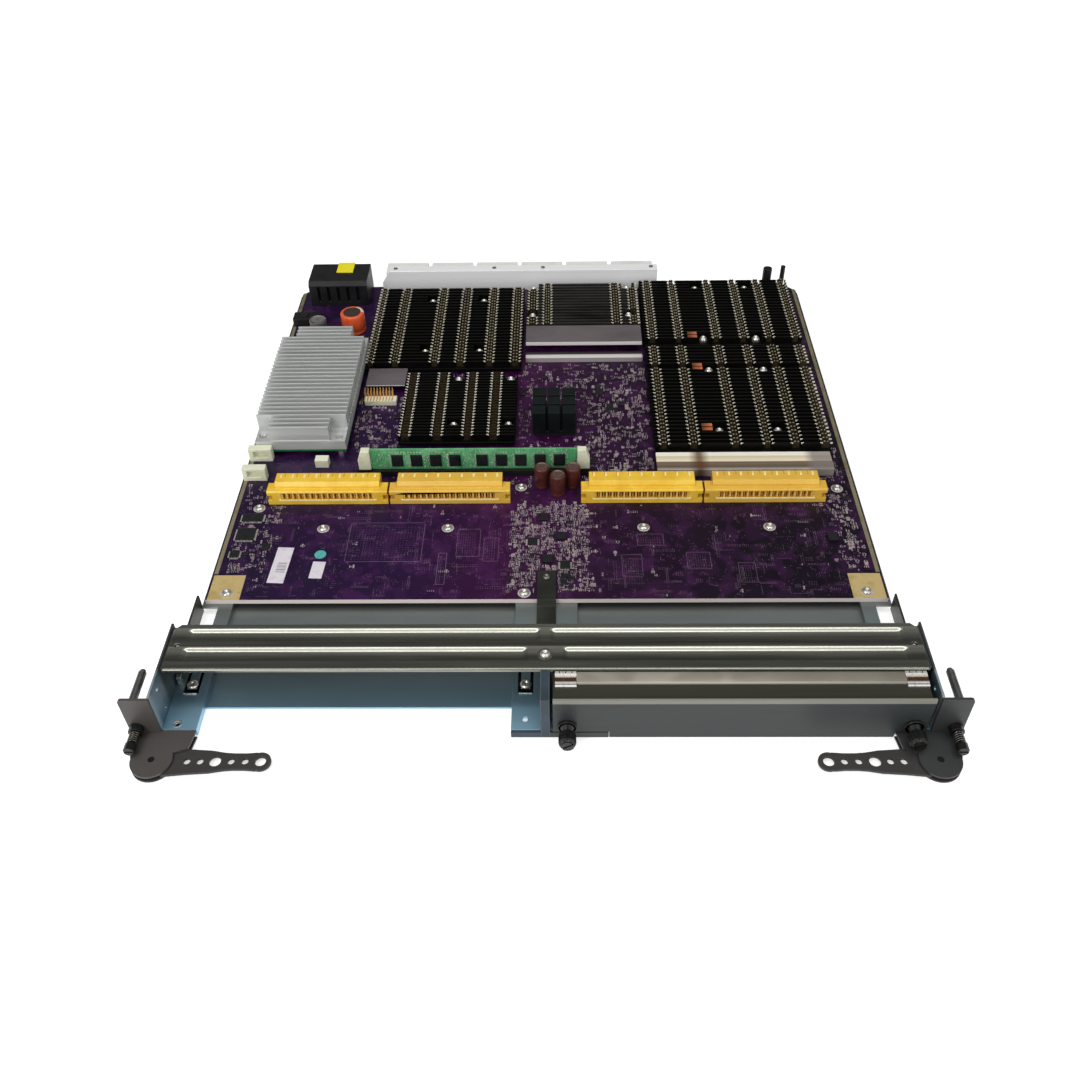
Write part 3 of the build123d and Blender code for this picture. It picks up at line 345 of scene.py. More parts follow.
# the tray floor: lighter and bluer in front, painted shade under the rear of the bar, painted shadow towards
# the board's edge
zincFloor = surface("zincFloor", [(132, 150, 158), (164, 180, 188), (146, 164, 172)], grain=18,
    stretch=(0.25, 1, 1), metallic=0.85, rough=(0.34, 0.46), bump=0.12,
    tint=paintedLightAlong([(0.0, (150, 200, 226)), (0.2, (124, 156, 172)), (0.34, (92, 104, 104)),
    (0.45, (80, 82, 70)), (0.55, (140, 146, 140)), (0.7, (156, 166, 164)), (1.0, (110, 108, 94))],
    low=0.015, high=0.095, share=0.75))
zincWall = surface("zincWall", [(96, 122, 138), (140, 162, 176), (196, 210, 218)], grain=26, metallic=0.8,
    rough=(0.3, 0.45), bump=0.12, tint=wallShade)
# the ears lighter and warmer at the left: a painted reflection on the one paint
earPaint = surface("earPaint", [(44, 42, 41), (57, 54, 52), (50, 48, 47)], grain=30, rough=(0.42, 0.55),
    bump=0.25, bumpGrain=1600, tint=paintedLightAlong([(0.0, (80, 74, 71)), (0.5, (54, 54, 55)),
    (1.0, (38, 43, 45))], axis="X", low=-0.216, high=0.216, share=0.6))
# the levers carry a painted highlight on their up-facing faces
leverPaint = surface("leverPaint", [(23, 22, 22), (33, 32, 31), (28, 27, 27)], grain=45, rough=(0.36, 0.5),
    bump=0.3, bumpGrain=1800, Specular_IOR_Level=0.35, tint=upFacingHighlight((84, 80, 78), 0.35))
barSteel = surface("barSteel", [(118, 118, 106), (152, 152, 140), (204, 204, 192)], grain=260,
    stretch=(0.03, 1, 1), metallic=0.97, rough=(0.17, 0.27), bump=0.2, bumpGrain=900, tint=barShade)
dividerPaint = surface("dividerPaint", [(40, 50, 58), (56, 68, 78), (48, 58, 66)], grain=40,
    rough=(0.4, 0.5), Specular_IOR_Level=0.3, tint=dividerShade)
strapSteel = surface("strapSteel", [(34, 36, 30), (52, 54, 46), (40, 42, 35)], grain=30, metallic=0.4,
    rough=(0.4, 0.55), Specular_IOR_Level=0.3)
fillerPaint = surface("fillerPaint", [(37, 37, 27), (50, 50, 40), (43, 43, 33)], grain=60,
    stretch=(0.05, 1, 1), rough=(0.38, 0.5), bump=0.2, bumpGrain=1700, Specular_IOR_Level=0.35,
    tint=lidShade)
blackScrew = surface("blackScrew", [(12, 12, 12), (26, 25, 24), (16, 16, 16)], grain=300,
    rough=(0.25, 0.4), metallic=0.3)
springSteel = surface("springSteel", [(60, 58, 55), (112, 108, 102), (44, 43, 41)], grain=500,
    metallic=0.95, rough=(0.18, 0.28))
pinSteel = surface("pinSteel", [(112, 110, 106), (146, 144, 140), (128, 126, 122)], grain=90,
    metallic=0.95, rough=(0.25, 0.36))
screwSteel = surface("screwSteel", [(180, 178, 172), (220, 218, 212), (200, 198, 192)], grain=220,
    metallic=0.9, rough=(0.2, 0.34))
darkScrew = surface("darkScrew", [(86, 82, 78), (130, 126, 120), (102, 98, 94)], grain=220, metallic=0.9,
    rough=(0.25, 0.4))
# a dark finish for painted shade in holes and pockets
holeShade = surface("holeShade", [(8, 10, 12), (26, 30, 32), (14, 18, 20)], grain=200, metallic=0.4,
    rough=(0.3, 0.45), Specular_IOR_Level=0.3)
blackPlastic = surface("blackPlastic", [(14, 14, 15), (26, 26, 27), (18, 18, 19)], grain=60,
    rough=(0.38, 0.52), bump=0.15, Specular_IOR_Level=0.3)
socketBlack = surface("socketBlack", [(18, 17, 16), (30, 29, 27), (22, 21, 20)], grain=90,
    rough=(0.4, 0.55), Specular_IOR_Level=0.3)
greenBoard = surface("greenBoard", [(28, 84, 50), (40, 110, 66), (34, 96, 56)], grain=70, rough=(0.3, 0.4))
ivoryPlastic = surface("ivoryPlastic", [(214, 212, 180), (232, 232, 206), (224, 222, 194)], grain=80,
    rough=(0.4, 0.5), Subsurface_Weight=0.05)
silverSink = surface("silverSink", [(176, 179, 178), (204, 206, 204), (190, 193, 191)], grain=160,
    stretch=(0.05, 1, 1), metallic=0.35, rough=(0.34, 0.46), bump=0.2)
backAluminium = surface("backAluminium", [(240, 242, 242), (255, 255, 255), (248, 250, 250)], grain=120,
    stretch=(0.03, 1, 1), metallic=0.15, rough=(0.35, 0.48))
finBlack = surface("finBlack", [(3, 3, 2), (9, 8, 6), (5, 4, 3)], grain=60, rough=(0.4, 0.55), bump=0.1,
    Specular_IOR_Level=0.15)
# the centre sink's black fins painted greyer for their highlights; the strips, dots and tips below are
# painted light and highlights in the cross-cut columns
finGreyLit = surface("finGreyLit", [(20, 19, 18), (48, 46, 44), (30, 29, 28)], grain=60, stretch=(0.2, 1, 1),
    rough=(0.35, 0.5), Specular_IOR_Level=0.25)
finGapLight = surface("finGapLight", [(24, 20, 13), (62, 52, 36), (38, 32, 22)], grain=420, metallic=0.2,
    rough=(0.45, 0.6), Specular_IOR_Level=0.2)
finDotHighlight = surface("finDotHighlight", [(70, 62, 48), (176, 168, 144), (112, 104, 84)], grain=900, rough=(0.45, 0.6))
dimTipHighlight = surface("dimTipHighlight", [(120, 114, 98), (236, 230, 208), (184, 178, 156)], grain=900, rough=(0.4, 0.55))
finTipHighlight = surface("finTipHighlight", [(150, 146, 130), (246, 240, 220), (206, 200, 180)], grain=700,
    rough=(0.4, 0.55))
chipSinkBlack = surface("chipSinkBlack", [(9, 15, 15), (19, 26, 25), (12, 18, 18)], grain=50,
    rough=(0.35, 0.5), Specular_IOR_Level=0.2)
copperPipe = surface("copperPipe", [(180, 92, 50), (226, 132, 80), (204, 110, 62)], grain=200,
    metallic=0.3, rough=(0.3, 0.45), tint=copperShade)
chipBlack = surface("chipBlack", [(18, 18, 20), (32, 32, 36), (24, 24, 26)], grain=120, rough=(0.35, 0.5),
    Specular_IOR_Level=0.3)
greyPlate = surface("greyPlate", [(86, 78, 80), (118, 110, 112), (102, 94, 98)], grain=24,
    stretch=(0.3, 1, 1), metallic=0.25, rough=(0.3, 0.45), tint=plateShade)
brightPlate = surface("brightPlate", [(232, 222, 196), (252, 248, 232), (244, 238, 216)], grain=40,
    stretch=(0.4, 1, 1), metallic=0.1, rough=(0.3, 0.42), tint=shieldShade)
housingPlastic = surface("housingPlastic", [(226, 224, 218), (240, 238, 232), (232, 230, 226)], grain=70)
yellowTag = surface("yellowTag", [(232, 214, 16), (248, 234, 40), (240, 224, 26)], grain=120,
    rough=(0.3, 0.42))
paperLabel = surface("paperLabel", [(206, 198, 206), (224, 218, 224), (214, 208, 216)], grain=200,
    rough=(0.5, 0.6))
printGrey = surface("printGrey", [(70, 66, 74), (96, 92, 100), (82, 78, 86)], grain=300, rough=(0.5, 0.6))
tealDot = surface("tealDot", [(60, 150, 150), (92, 178, 176), (74, 164, 162)], grain=300,
    rough=(0.35, 0.45))
goldPad = surface("goldPad", [(176, 150, 92), (206, 182, 124), (192, 166, 108)], grain=90, metallic=0.2,
    rough=(0.4, 0.55))
padTin = surface("padTin", [(150, 142, 132), (196, 190, 180), (172, 164, 156)], grain=300, rough=(0.4, 0.5))
edgeStrip = surface("edgeStrip", [(116, 108, 82), (150, 142, 112), (132, 124, 96)], grain=90, metallic=0.4,
    rough=(0.4, 0.55))
toothYellow = surface("toothYellow", [(214, 160, 50), (244, 204, 104), (230, 182, 72)], grain=180,
    rough=(0.3, 0.42))
# a paler yellow for painted highlights on the connectors' top and front edges
connectorHighlight = surface("connectorHighlight", [(236, 206, 110), (250, 234, 176), (244, 222, 142)], grain=200)
contactGold = surface("contactGold", [(176, 112, 56), (236, 190, 116), (204, 150, 82)], grain=400,
    metallic=0.4, rough=(0.3, 0.42))
silkPaint = surface("silkPaint", [(92, 62, 98), (146, 116, 140), (112, 82, 116)], grain=900,
    rough=(0.5, 0.6))


def makeBoardPurple():
    # solder mask over copper pours, traces and vias, with a bare pinkish edge
    material, tree, out = newFinish("boardPurple", Specular_IOR_Level=0.3)
    spot = objectPlace(tree)
    base = screenRamp(tree, remap(tree, axes(tree, spot)["X"], -0.196, 0.196), (
        (0.0, (28, 12, 46)), (0.28, (36, 8, 54)), (0.46, (52, 5, 51)), (0.6, (32, 4, 36)),
        (0.8, (16, 4, 21)), (1.0, (12, 4, 17))))
    pour = put(tree, "ShaderNodeTexVoronoi", {"Vector": spot, "Scale": 52.0}, distance="CHEBYCHEV")
    base = mixColours(tree, remap(tree, pour.outputs["Color"], 0.4, 0.6, 0.0, 0.2), base, tone(26, 6, 40))
    aslant = {"Vector": spot, "Rotation": (0, 0, math.radians(45))}
    turned = put(tree, "ShaderNodeMapping", aslant).outputs[0]
    for vector, size, weight in ((spot, 300.0, 0.4), (turned, 220.0, 0.3)):
        lines = whiteGrid(tree, vector, size, 0.03, 0.2)
        traced = times(tree, lines, remap(tree, noise(tree, vector, size * 0.3, 1.0), 0.54, 0.58))
        base = mixColours(tree, times(tree, traced, weight), base, tone(104, 44, 112))
    for size, shade, zoneSize, edge in ((480.0, (116, 70, 112), 110.0, 0.54),
                                        (800.0, (140, 104, 130), 150.0, 0.58)):
        vias = put(tree, "ShaderNodeTexVoronoi", {"Vector": spot, "Scale": size, "Randomness": 0.8})
        dots = remap(tree, vias.outputs["Distance"], 0.16, 0.26, 1.0, 0.0)
        where = remap(tree, noise(tree, spot, zoneSize, 1.0), edge, edge + 0.04, 0.0, 0.7)
        base = mixColours(tree, times(tree, dots, where), base, tone(*shade))
    side = remap(tree, maths(tree, "ABSOLUTE", facing(tree)["Z"]), 0.3, 0.6, 1.0, 0.0)
    base = mixColours(tree, side, base, tone(238, 226, 220))
    coat(tree, out, base, cloudy(tree, spot, 60.0, 0.3, 0.42), noise(tree, spot, 700.0, 2.0), 0.12)
    return material


def makeConnectorYellow():
    # moulded yellow, paler on the second of each pair, with painted shade deep in the slot, and fine folds
    # on the back
    material, tree, out = newFinish("connectorYellow", Subsurface_Weight=0.0)
    spot = objectPlace(tree)
    parts = axes(tree, spot)
    base = evenRamp(tree, cloudy(tree, spot, 70.0), ((226, 176, 44), (236, 192, 58), (244, 206, 78)))
    for left, right in ((-0.0995, -0.021), (0.099, 0.178)):
        second = within(tree, parts["X"], left, right, 0.002)
        base = mixColours(tree, times(tree, second, 0.6), base, tone(218, 172, 74))
    # painted shade deep in the slot
    slot = remap(tree, parts["Z"], 0.0172, 0.0176, 1.0, 0.0)
    deep = times(tree, byDepth(tree, parts, 0.1745, 0.1775), slot)
    base = mixColours(tree, times(tree, deep, 0.9), base, tone(150, 86, 20))
    folds = maths(tree, "GREATER_THAN", maths(tree, "FRACT", times(tree, parts["X"], 133.0)), 0.93)
    upper = times(tree, folds, byDepth(tree, parts, 0.1835, 0.1840))
    base = mixColours(tree, times(tree, upper, 0.55), base, tone(150, 96, 20))
    coat(tree, out, base, cloudy(tree, spot, 160.0, 0.3, 0.42), noise(tree, spot, 900.0, 2.0))
    return material


def makeSmallPart(name, bodies, ends, rough=(0.35, 0.5)):
    # tiny parts in many body colours; their own map paints the two soldered ends
    material, tree, out = newFinish(name)
    spot = objectPlace(tree)
    steps = {0: spot, 1: (0.006, 0.006, 10.0)}
    snapped = put(tree, "ShaderNodeVectorMath", steps, operation="SNAP").outputs[0]
    cell = put(tree, "ShaderNodeTexWhiteNoise", {"Vector": snapped}, noise_dimensions="3D").outputs["Value"]
    stops = [(index / len(bodies), tone(*value)) for index, value in enumerate(bodies)]
    body = ramp(tree, cell, stops, "CONSTANT")
    away = maths(tree, "ABSOLUTE", maths(tree, "SUBTRACT", ownMap(tree)["X"], 0.5))
    tip = maths(tree, "GREATER_THAN", away, 0.28)
    dulled = mixColours(tree, cloudy(tree, spot, 500.0, 0.0, 0.4), tone(*ends), tone(120, 112, 104))
    coat(tree, out, mixColours(tree, tip, body, dulled), cloudy(tree, spot, 800.0, *rough))
    return material


def makeMemoryFinish():
    # green board with a gold contact edge, finely traced
    material, tree, out = newFinish("memoryGreen", Coat_Weight=0.2, Coat_Roughness=0.2)
    spot = objectPlace(tree)
    parts = axes(tree, spot)
    base = evenRamp(tree, cloudy(tree, spot, 120.0), ((34, 132, 74), (62, 156, 96), (112, 190, 136)))
    waves = put(tree, "ShaderNodeTexWave", {"Vector": spot, "Scale": 330.0, "Distortion": 2.0})
    traced = remap(tree, waves.outputs["Fac"], 0.7, 0.9, 0.0, 0.4)
    base = mixColours(tree, traced, base, tone(176, 214, 180))
    low = remap(tree, parts["Z"], 0.0105, 0.0108, 1.0, 0.0)
    teeth = maths(tree, "GREATER_THAN", maths(tree, "FRACT", times(tree, parts["X"], 1000.0)), 0.35)
    base = mixColours(tree, times(tree, low, teeth), base, tone(216, 176, 84))
    coat(tree, out, base, cloudy(tree, spot, 300.0, 0.3, 0.42))
    return material


def makeGasketFabric():
    # conductive fabric: a fine weave with rows of faint prints, paler along its front
    material, tree, out = newFinish("gasketFabric", metallic=0.2)
    spot = objectPlace(tree)
    weave = put(tree, "ShaderNodeTexChecker", {"Vector": spot, "Scale": 2400.0}).outputs["Fac"]
    slow = remap(tree, noise(tree, spot, 16.0, 2.0), 0.35, 0.65)
    base = evenRamp(tree, slow, ((132, 124, 112), (146, 140, 126), (162, 156, 142)))
    base = mixColours(tree, times(tree, weave, 0.15), base, tone(104, 98, 86))
    fine = whiteGrid(tree, spot, 700.0, 0.12)
    where = remap(tree, noise(tree, spot, 30.0, 2.0), 0.52, 0.6, 0.0, 0.35)
    base = mixColours(tree, times(tree, fine, where), base, tone(196, 190, 176))
    low = byDepth(tree, axes(tree, spot), 0.0119, 0.0126, 0.8, 0.0)
    base = mixColours(tree, low, base, tone(206, 200, 186))
    coat(tree, out, base, remap(tree, weave, 0.0, 1.0, 0.45, 0.6), weave, 0.2, 0.0001)
    return material


def makeClipSteel():
    # bright folded clip with a brown band where it turns down
    material, tree, out = newFinish("clipSteel", metallic=0.85)
    spot = objectPlace(tree)
    band = screenRamp(tree, byDepth(tree, axes(tree, spot), 0.0098, 0.0193), (
        (0.0, (236, 236, 232)), (0.2, (226, 226, 222)), (0.3, (116, 84, 64)), (0.55, (138, 104, 82)),
        (0.66, (200, 198, 192)), (1.0, (232, 232, 228))))
    seam = put(tree, "ShaderNodeTexWave", {"Vector": spot, "Scale": 30.0}).outputs["Fac"]
    rubbed = mixColours(tree, remap(tree, seam, 0.0, 0.04, 0.3, 0.0), band, tone(150, 146, 140))
    coat(tree, out, rubbed, cloudy(tree, spot, 500.0, 0.2, 0.32))
    return material


def makeSleeve(name, shades, topShade, stripe, stripeShare=0.16):
    # a capacitor's shrunk sleeve, with a polarity stripe down one side and a bare top
    material, tree, out = newFinish(name)
    spot = objectPlace(tree)
    across = ownMap(tree)
    base = evenRamp(tree, cloudy(tree, spot, 160.0), shades)
    base = mixColours(tree, maths(tree, "LESS_THAN", across["X"], stripeShare), base, tone(*stripe))
    bare = maths(tree, "GREATER_THAN", across["Y"], 1.5)
    feed(tree, out.inputs["Metallic"], times(tree, bare, 0.8))
    coat(tree, out, mixColours(tree, bare, base, tone(*topShade)), cloudy(tree, spot, 240.0, 0.28, 0.4))
    return material


boardPurple = makeBoardPurple()
connectorYellow = makeConnectorYellow()
memoryGreen = makeMemoryFinish()
gasketFabric = makeGasketFabric()
clipSteel = makeClipSteel()
smallPart = makeSmallPart("smallPart", [(112, 86, 100), (172, 154, 156), (28, 18, 32), (64, 42, 58),
    (138, 116, 122), (38, 26, 42)], (178, 164, 168))
memoryPart = makeSmallPart("memoryPart", [(150, 158, 130), (96, 150, 108), (40, 44, 38), (190, 192, 168)],
    (206, 208, 190))
orangeSleeve = makeSleeve("orangeSleeve", [(206, 74, 34), (228, 96, 50), (216, 84, 40)], (104, 84, 76),
    (236, 200, 170))
greySleeve = makeSleeve("greySleeve", [(64, 60, 62), (92, 88, 90), (76, 72, 76)], (176, 174, 174),
    (120, 118, 120))
brownSleeve = makeSleeve("brownSleeve", [(54, 24, 20), (86, 40, 32), (68, 30, 26)], (140, 112, 104),
    (110, 70, 60))


# mesh helpers
def joinRings(bm, rings, closed=False, smooth=False):
    # walls between neighbouring rings of points, given back ring by ring
    rows = []
    for low, high in zip(rings, rings[1:] + (rings[:1] if closed else [])):
        row = []
        for step in range(len(low)):
            after = (step + 1) % len(low)
            row.append(bm.faces.new([low[step], low[after], high[after], high[step]]))
            row[-1].smooth = smooth
        rows.append(row)
    return rows


def around(sides):
    # unit steps round a circle
    turns = [2 * math.pi * step / sides for step in range(sides)]
    return [(math.cos(turn), math.sin(turn)) for turn in turns]


def addBox(bm, x0, x1, y0, y1, z0, z1):
    corners = [bm.verts.new(place(x, y, z)) for x in (x0, x1) for y in (y0, y1) for z in (z0, z1)]
    for side in ((0, 1, 3, 2), (4, 6, 7, 5), (0, 4, 5, 1), (2, 3, 7, 6), (0, 2, 6, 4), (1, 5, 7, 3)):
        bm.faces.new([corners[i] for i in side])


def joinEnds(bm, first, second):
    # two caps with walls between them
    bm.faces.new(first)
    bm.faces.new(second[::-1])
    for step in range(len(first)):
        after = (step + 1) % len(first)
        bm.faces.new([first[step], second[step], second[after], first[after]])


def addAcross(bm, outline, x0, x1):
    # a closed outline of (y, z) points, seen from the left, carried across
    joinEnds(bm, *([bm.verts.new(place(x, y, z)) for y, z in outline] for x in (x0, x1)))


def addTurned(bm, profile, sides, origin, along="Z", mapName=None):
    # a shape turned about its axis; profile is (radius, distance) from one end to the other, in mm
    rings = []
    for radius, distance in profile:
        ring = []
        for a, b in around(sides):
            y, z = (radius * b, distance) if along == "Z" else (distance, radius * b)
            ring.append(bm.verts.new(place(origin[0] + radius * a, origin[1] + y, origin[2] + z)))
        rings.append(ring)
    marks = []
    for level, row in enumerate(joinRings(bm, rings, smooth=True)):
        high = 2.0 if level >= len(profile) - 3 else 0.5
        marks += [(face, (step / sides, high)) for step, face in enumerate(row)]
    marks += [(bm.faces.new(rings[0][::-1]), (0.9, 0.5)), (bm.faces.new(rings[-1]), (0.9, 2.0))]
    if mapName:
        layer = bm.loops.layers.uv[mapName]   # round the axis, with 2 on the top and 0.5 below it
        for face, mark in marks:
            for loop in face.loops:
                loop[layer].uv = mark


def linkMesh(name, bm):
    mesh = bpy.data.meshes.new(name)
    bm.to_mesh(mesh)
    bm.free()
    piece = bpy.data.objects.new(name, mesh)
    scene.collection.objects.link(piece)
    return piece


def finishPiece(bm, name, finishes, body="card", stands=(), bevel=0.0, segments=2,
                smooth=False, recalc=True):
    if recalc:
        bmesh.ops.recalc_face_normals(bm, faces=bm.faces)
    return dressPiece(linkMesh(name, bm), finishes, body, stands, bevel, segments, smooth)


def dressPiece(piece, finishes, body, stands, bevel=0.0, segments=2, smooth=False):
    piece.data.materials.clear()
    for finish in finishes:
        piece.data.materials.append(finish)
    if smooth or bevel:
        for face in piece.data.polygons:
            face.use_smooth = True
    if bevel:
        piece.data.set_sharp_from_angle(angle=math.radians(18))
        rounding = piece.modifiers.new("rounding", "BEVEL")
        rounding.width = bevel * mm
        rounding.segments = segments
        rounding.limit_method = "ANGLE"
        rounding.angle_limit = math.radians(35)
        rounding.harden_normals = True
        rounding.use_clamp_overlap = True
    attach(piece, body)
    if stands:
        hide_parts(*stands)
    return piece


def softened(node, finish, bevel):
    # a CAD node's shape with its triangles joined and its edges rounded
    source = frame["nodes"][node]
    bm = bmesh.new()
    bm.from_mesh(source.data)
    bmesh.ops.remove_doubles(bm, verts=bm.verts, dist=0.000002)
    bmesh.ops.dissolve_limit(bm, angle_limit=math.radians(0.6), verts=bm.verts, edges=bm.edges)
    for face in bm.faces:
        face.material_index = 0
    return finishPiece(bm, "soft_" + node, [finish], body=source["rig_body"], stands=(node,), bevel=bevel,
                       recalc=False)


def dressNode(node, finish):
    mesh = frame["nodes"][node].data
    if not mesh.materials:
        mesh.materials.append(finish)
    for index in range(len(mesh.materials)):
        mesh.materials[index] = finish


# what repeats: one shape set on every point of a mesh, with its own size and turn
def makePointTree():
    tree = bpy.data.node_groups.new("shapeOnPoints", "GeometryNodeTree")
    sockets = tree.interface
    sockets.new_socket("Points", in_out="INPUT", socket_type="NodeSocketGeometry")
    sockets.new_socket("Shape", in_out="INPUT", socket_type="NodeSocketObject")
    sockets.new_socket("Size", in_out="INPUT", socket_type="NodeSocketFloat")
    sockets.new_socket("Finish", in_out="INPUT", socket_type="NodeSocketMaterial")
    sockets.new_socket("Piece", in_out="OUTPUT", socket_type="NodeSocketGeometry")
    given = put(tree, "NodeGroupInput")
    shape = put(tree, "GeometryNodeObjectInfo", {"Object": given.outputs["Shape"]},
                transform_space="ORIGINAL")
    size = put(tree, "GeometryNodeInputNamedAttribute", {"Name": "size"}, data_type="FLOAT_VECTOR")
    turn = put(tree, "GeometryNodeInputNamedAttribute", {"Name": "turn"}, data_type="FLOAT_VECTOR")
    scaled = put(tree, "ShaderNodeVectorMath", {0: size.outputs["Attribute"]}, operation="SCALE")
    tree.links.new(given.outputs["Size"], scaled.inputs["Scale"])
    spun = put(tree, "FunctionNodeEulerToRotation", {"Euler": turn.outputs["Attribute"]})
    points = put(tree, "GeometryNodeMeshToPoints", {"Mesh": given.outputs["Points"]})
    copies = put(tree, "GeometryNodeInstanceOnPoints", {
        "Points": points.outputs["Points"], "Instance": shape.outputs["Geometry"],
        "Rotation": spun.outputs["Rotation"], "Scale": scaled.outputs["Vector"]})
    solid = put(tree, "GeometryNodeRealizeInstances", {"Geometry": copies.outputs["Instances"]})
    painted = put(tree, "GeometryNodeSetMaterial", {"Geometry": solid.outputs["Geometry"],
                                                    "Material": given.outputs["Finish"]})
    put(tree, "NodeGroupOutput", {"Piece": painted.outputs["Geometry"]})
    return tree


pointTree = makePointTree()


def templateShape(name, build):
    # a small shape about the origin, one unit across, for the tree to copy
    bm = bmesh.new()
    bm.loops.layers.uv.new("UVMap")
    build(bm)
    bmesh.ops.recalc_face_normals(bm, faces=bm.faces)
    return linkMesh(name, bm)


def spread(name, shape, finish, spots, stands=(), smooth=False):
    # spots: (place in mm, size in mm, turn in degrees about X, Y and Z)
    mesh = bpy.data.meshes.new(name + "Points")
    mesh.from_pydata([place(*spot[0]) for spot in spots], [], [])
    size = mesh.attributes.new("size", "FLOAT_VECTOR", "POINT")
    turn = mesh.attributes.new("turn", "FLOAT_VECTOR", "POINT")
    for index, spot in enumerate(spots):
        size.data[index].vector = spot[1]
        angles = spot[2] if len(spot) > 2 else (0, 0, 0)
        turn.data[index].vector = [math.radians(angle) for angle in angles]
    carrier = bpy.data.objects.new(name + "Points", mesh)
    scene.collection.objects.link(carrier)
    modifier = carrier.modifiers.new("copies", "NODES")
    modifier.node_group = pointTree
    values = {"Shape": shape, "Size": mm, "Finish": finish}
    for item in pointTree.interface.items_tree:
        if item.item_type == "SOCKET" and item.in_out == "INPUT" and item.name in values:
            modifier[item.identifier] = values[item.name]
    shown = carrier.evaluated_get(bpy.context.evaluated_depsgraph_get())
    result = bpy.data.meshes.new_from_object(shown)
    result.name = name
    bpy.data.objects.remove(carrier)
    piece = bpy.data.objects.new(name, result)
    scene.collection.objects.link(piece)
    for attribute in ("size", "turn"):
        if attribute in result.attributes:
            result.attributes.remove(result.attributes[attribute])
    return dressPiece(piece, [finish], "card", stands, smooth=smooth)


def unitBox(bm, x=0.5, y=0.5, low=0.0, high=1.0, top=1.0):
    # a block standing on the origin, its top drawn in by a share
    corners = ((-1, -1), (1, -1), (1, 1), (-1, 1))
    verts = [[bm.verts.new((a * x * share, b * y * share, level)) for a, b in corners]
             for level, share in ((low, 1.0), (high, top))]
    faces = [bm.faces.new(verts[0][::-1]), bm.faces.new(verts[1])] + joinRings(bm, verts)[0]
    layer = bm.loops.layers.uv["UVMap"]
    for face in faces:
        for loop in face.loops:
            loop[layer].uv = (loop.vert.co.x + 0.5, loop.vert.co.y + 0.5)
    return faces


def chipResistor(bm):
    # a body between two end caps that stand slightly proud
    unitBox(bm, 0.5, 0.5, 0.0, 0.82, 0.98)
    layer = bm.loops.layers.uv["UVMap"]
    for side in (-1, 1):
        cap = unitBox(bm, 0.12, 0.54, 0.0, 1.0, 0.96)
        bmesh.ops.translate(bm, verts=list(cap[0].verts) + list(cap[1].verts), vec=(side * 0.42, 0, 0))
        for face in cap:
            for loop in face.loops:
                loop[layer].uv = (1.0 if side > 0 else 0.0, 0.5)


def crownedBlock(bm):
    unitBox(bm, 0.5, 0.5, 0.0, 0.85, 1.0)
    unitBox(bm, 0.5, 0.5, 0.85, 1.0, 0.8)


def foldedFin(bm):
    # a thin fin whose top is turned over into a narrow flange
    unitBox(bm, 0.5, 0.2, 0.0, 0.96, 1.0)
    unitBox(bm, 0.5, 0.5, 0.96, 1.0, 1.0)


def flatMark(bm):
    unitBox(bm, 0.5, 0.5, 0.0, 1.0, 0.96)


def roundRings(bm, sides, steps):
    return [[bm.verts.new((radius * a, radius * b, level)) for a, b in around(sides)]
            for radius, level in steps]


def ringPad(bm, sides=20, inner=0.31):
    steps = ((0.5, 0.0), (0.48, 1.0), (inner + 0.02, 1.0), (inner, 0.0))
    joinRings(bm, roundRings(bm, sides, steps), closed=True)


def roundMark(bm, sides=24):
    rings = roundRings(bm, sides, ((0.5, 0.0), (0.48, 1.0)))
    bm.faces.new(rings[0][::-1])
    bm.faces.new(rings[1])
    joinRings(bm, rings)


def panHead(bm, sides=16):
    # domed head with a sunk six-lobed drive
    rings = []
    for radius, level, lobe in ((0.5, 0.0, 1.0), (0.5, 0.3, 1.0), (0.44, 0.72, 1.0), (0.3, 0.98, 1.0),
                                (0.25, 1.0, 0.84), (0.2, 0.45, 0.84)):
        reach = (radius, radius * lobe)
        rings.append([bm.verts.new((reach[step % 2] * a, reach[step % 2] * b, level))
                      for step, (a, b) in enumerate(around(sides))])
    joinRings(bm, rings)
    bm.faces.new(rings[0][::-1])
    bm.faces.new(rings[-1])


shapes = {name: templateShape(name + "Shape", build) for name, build in (
    ("part", chipResistor), ("block", crownedBlock), ("fin", foldedFin), ("mark", flatMark),
    ("ring", ringPad), ("disc", roundMark), ("head", panHead))}

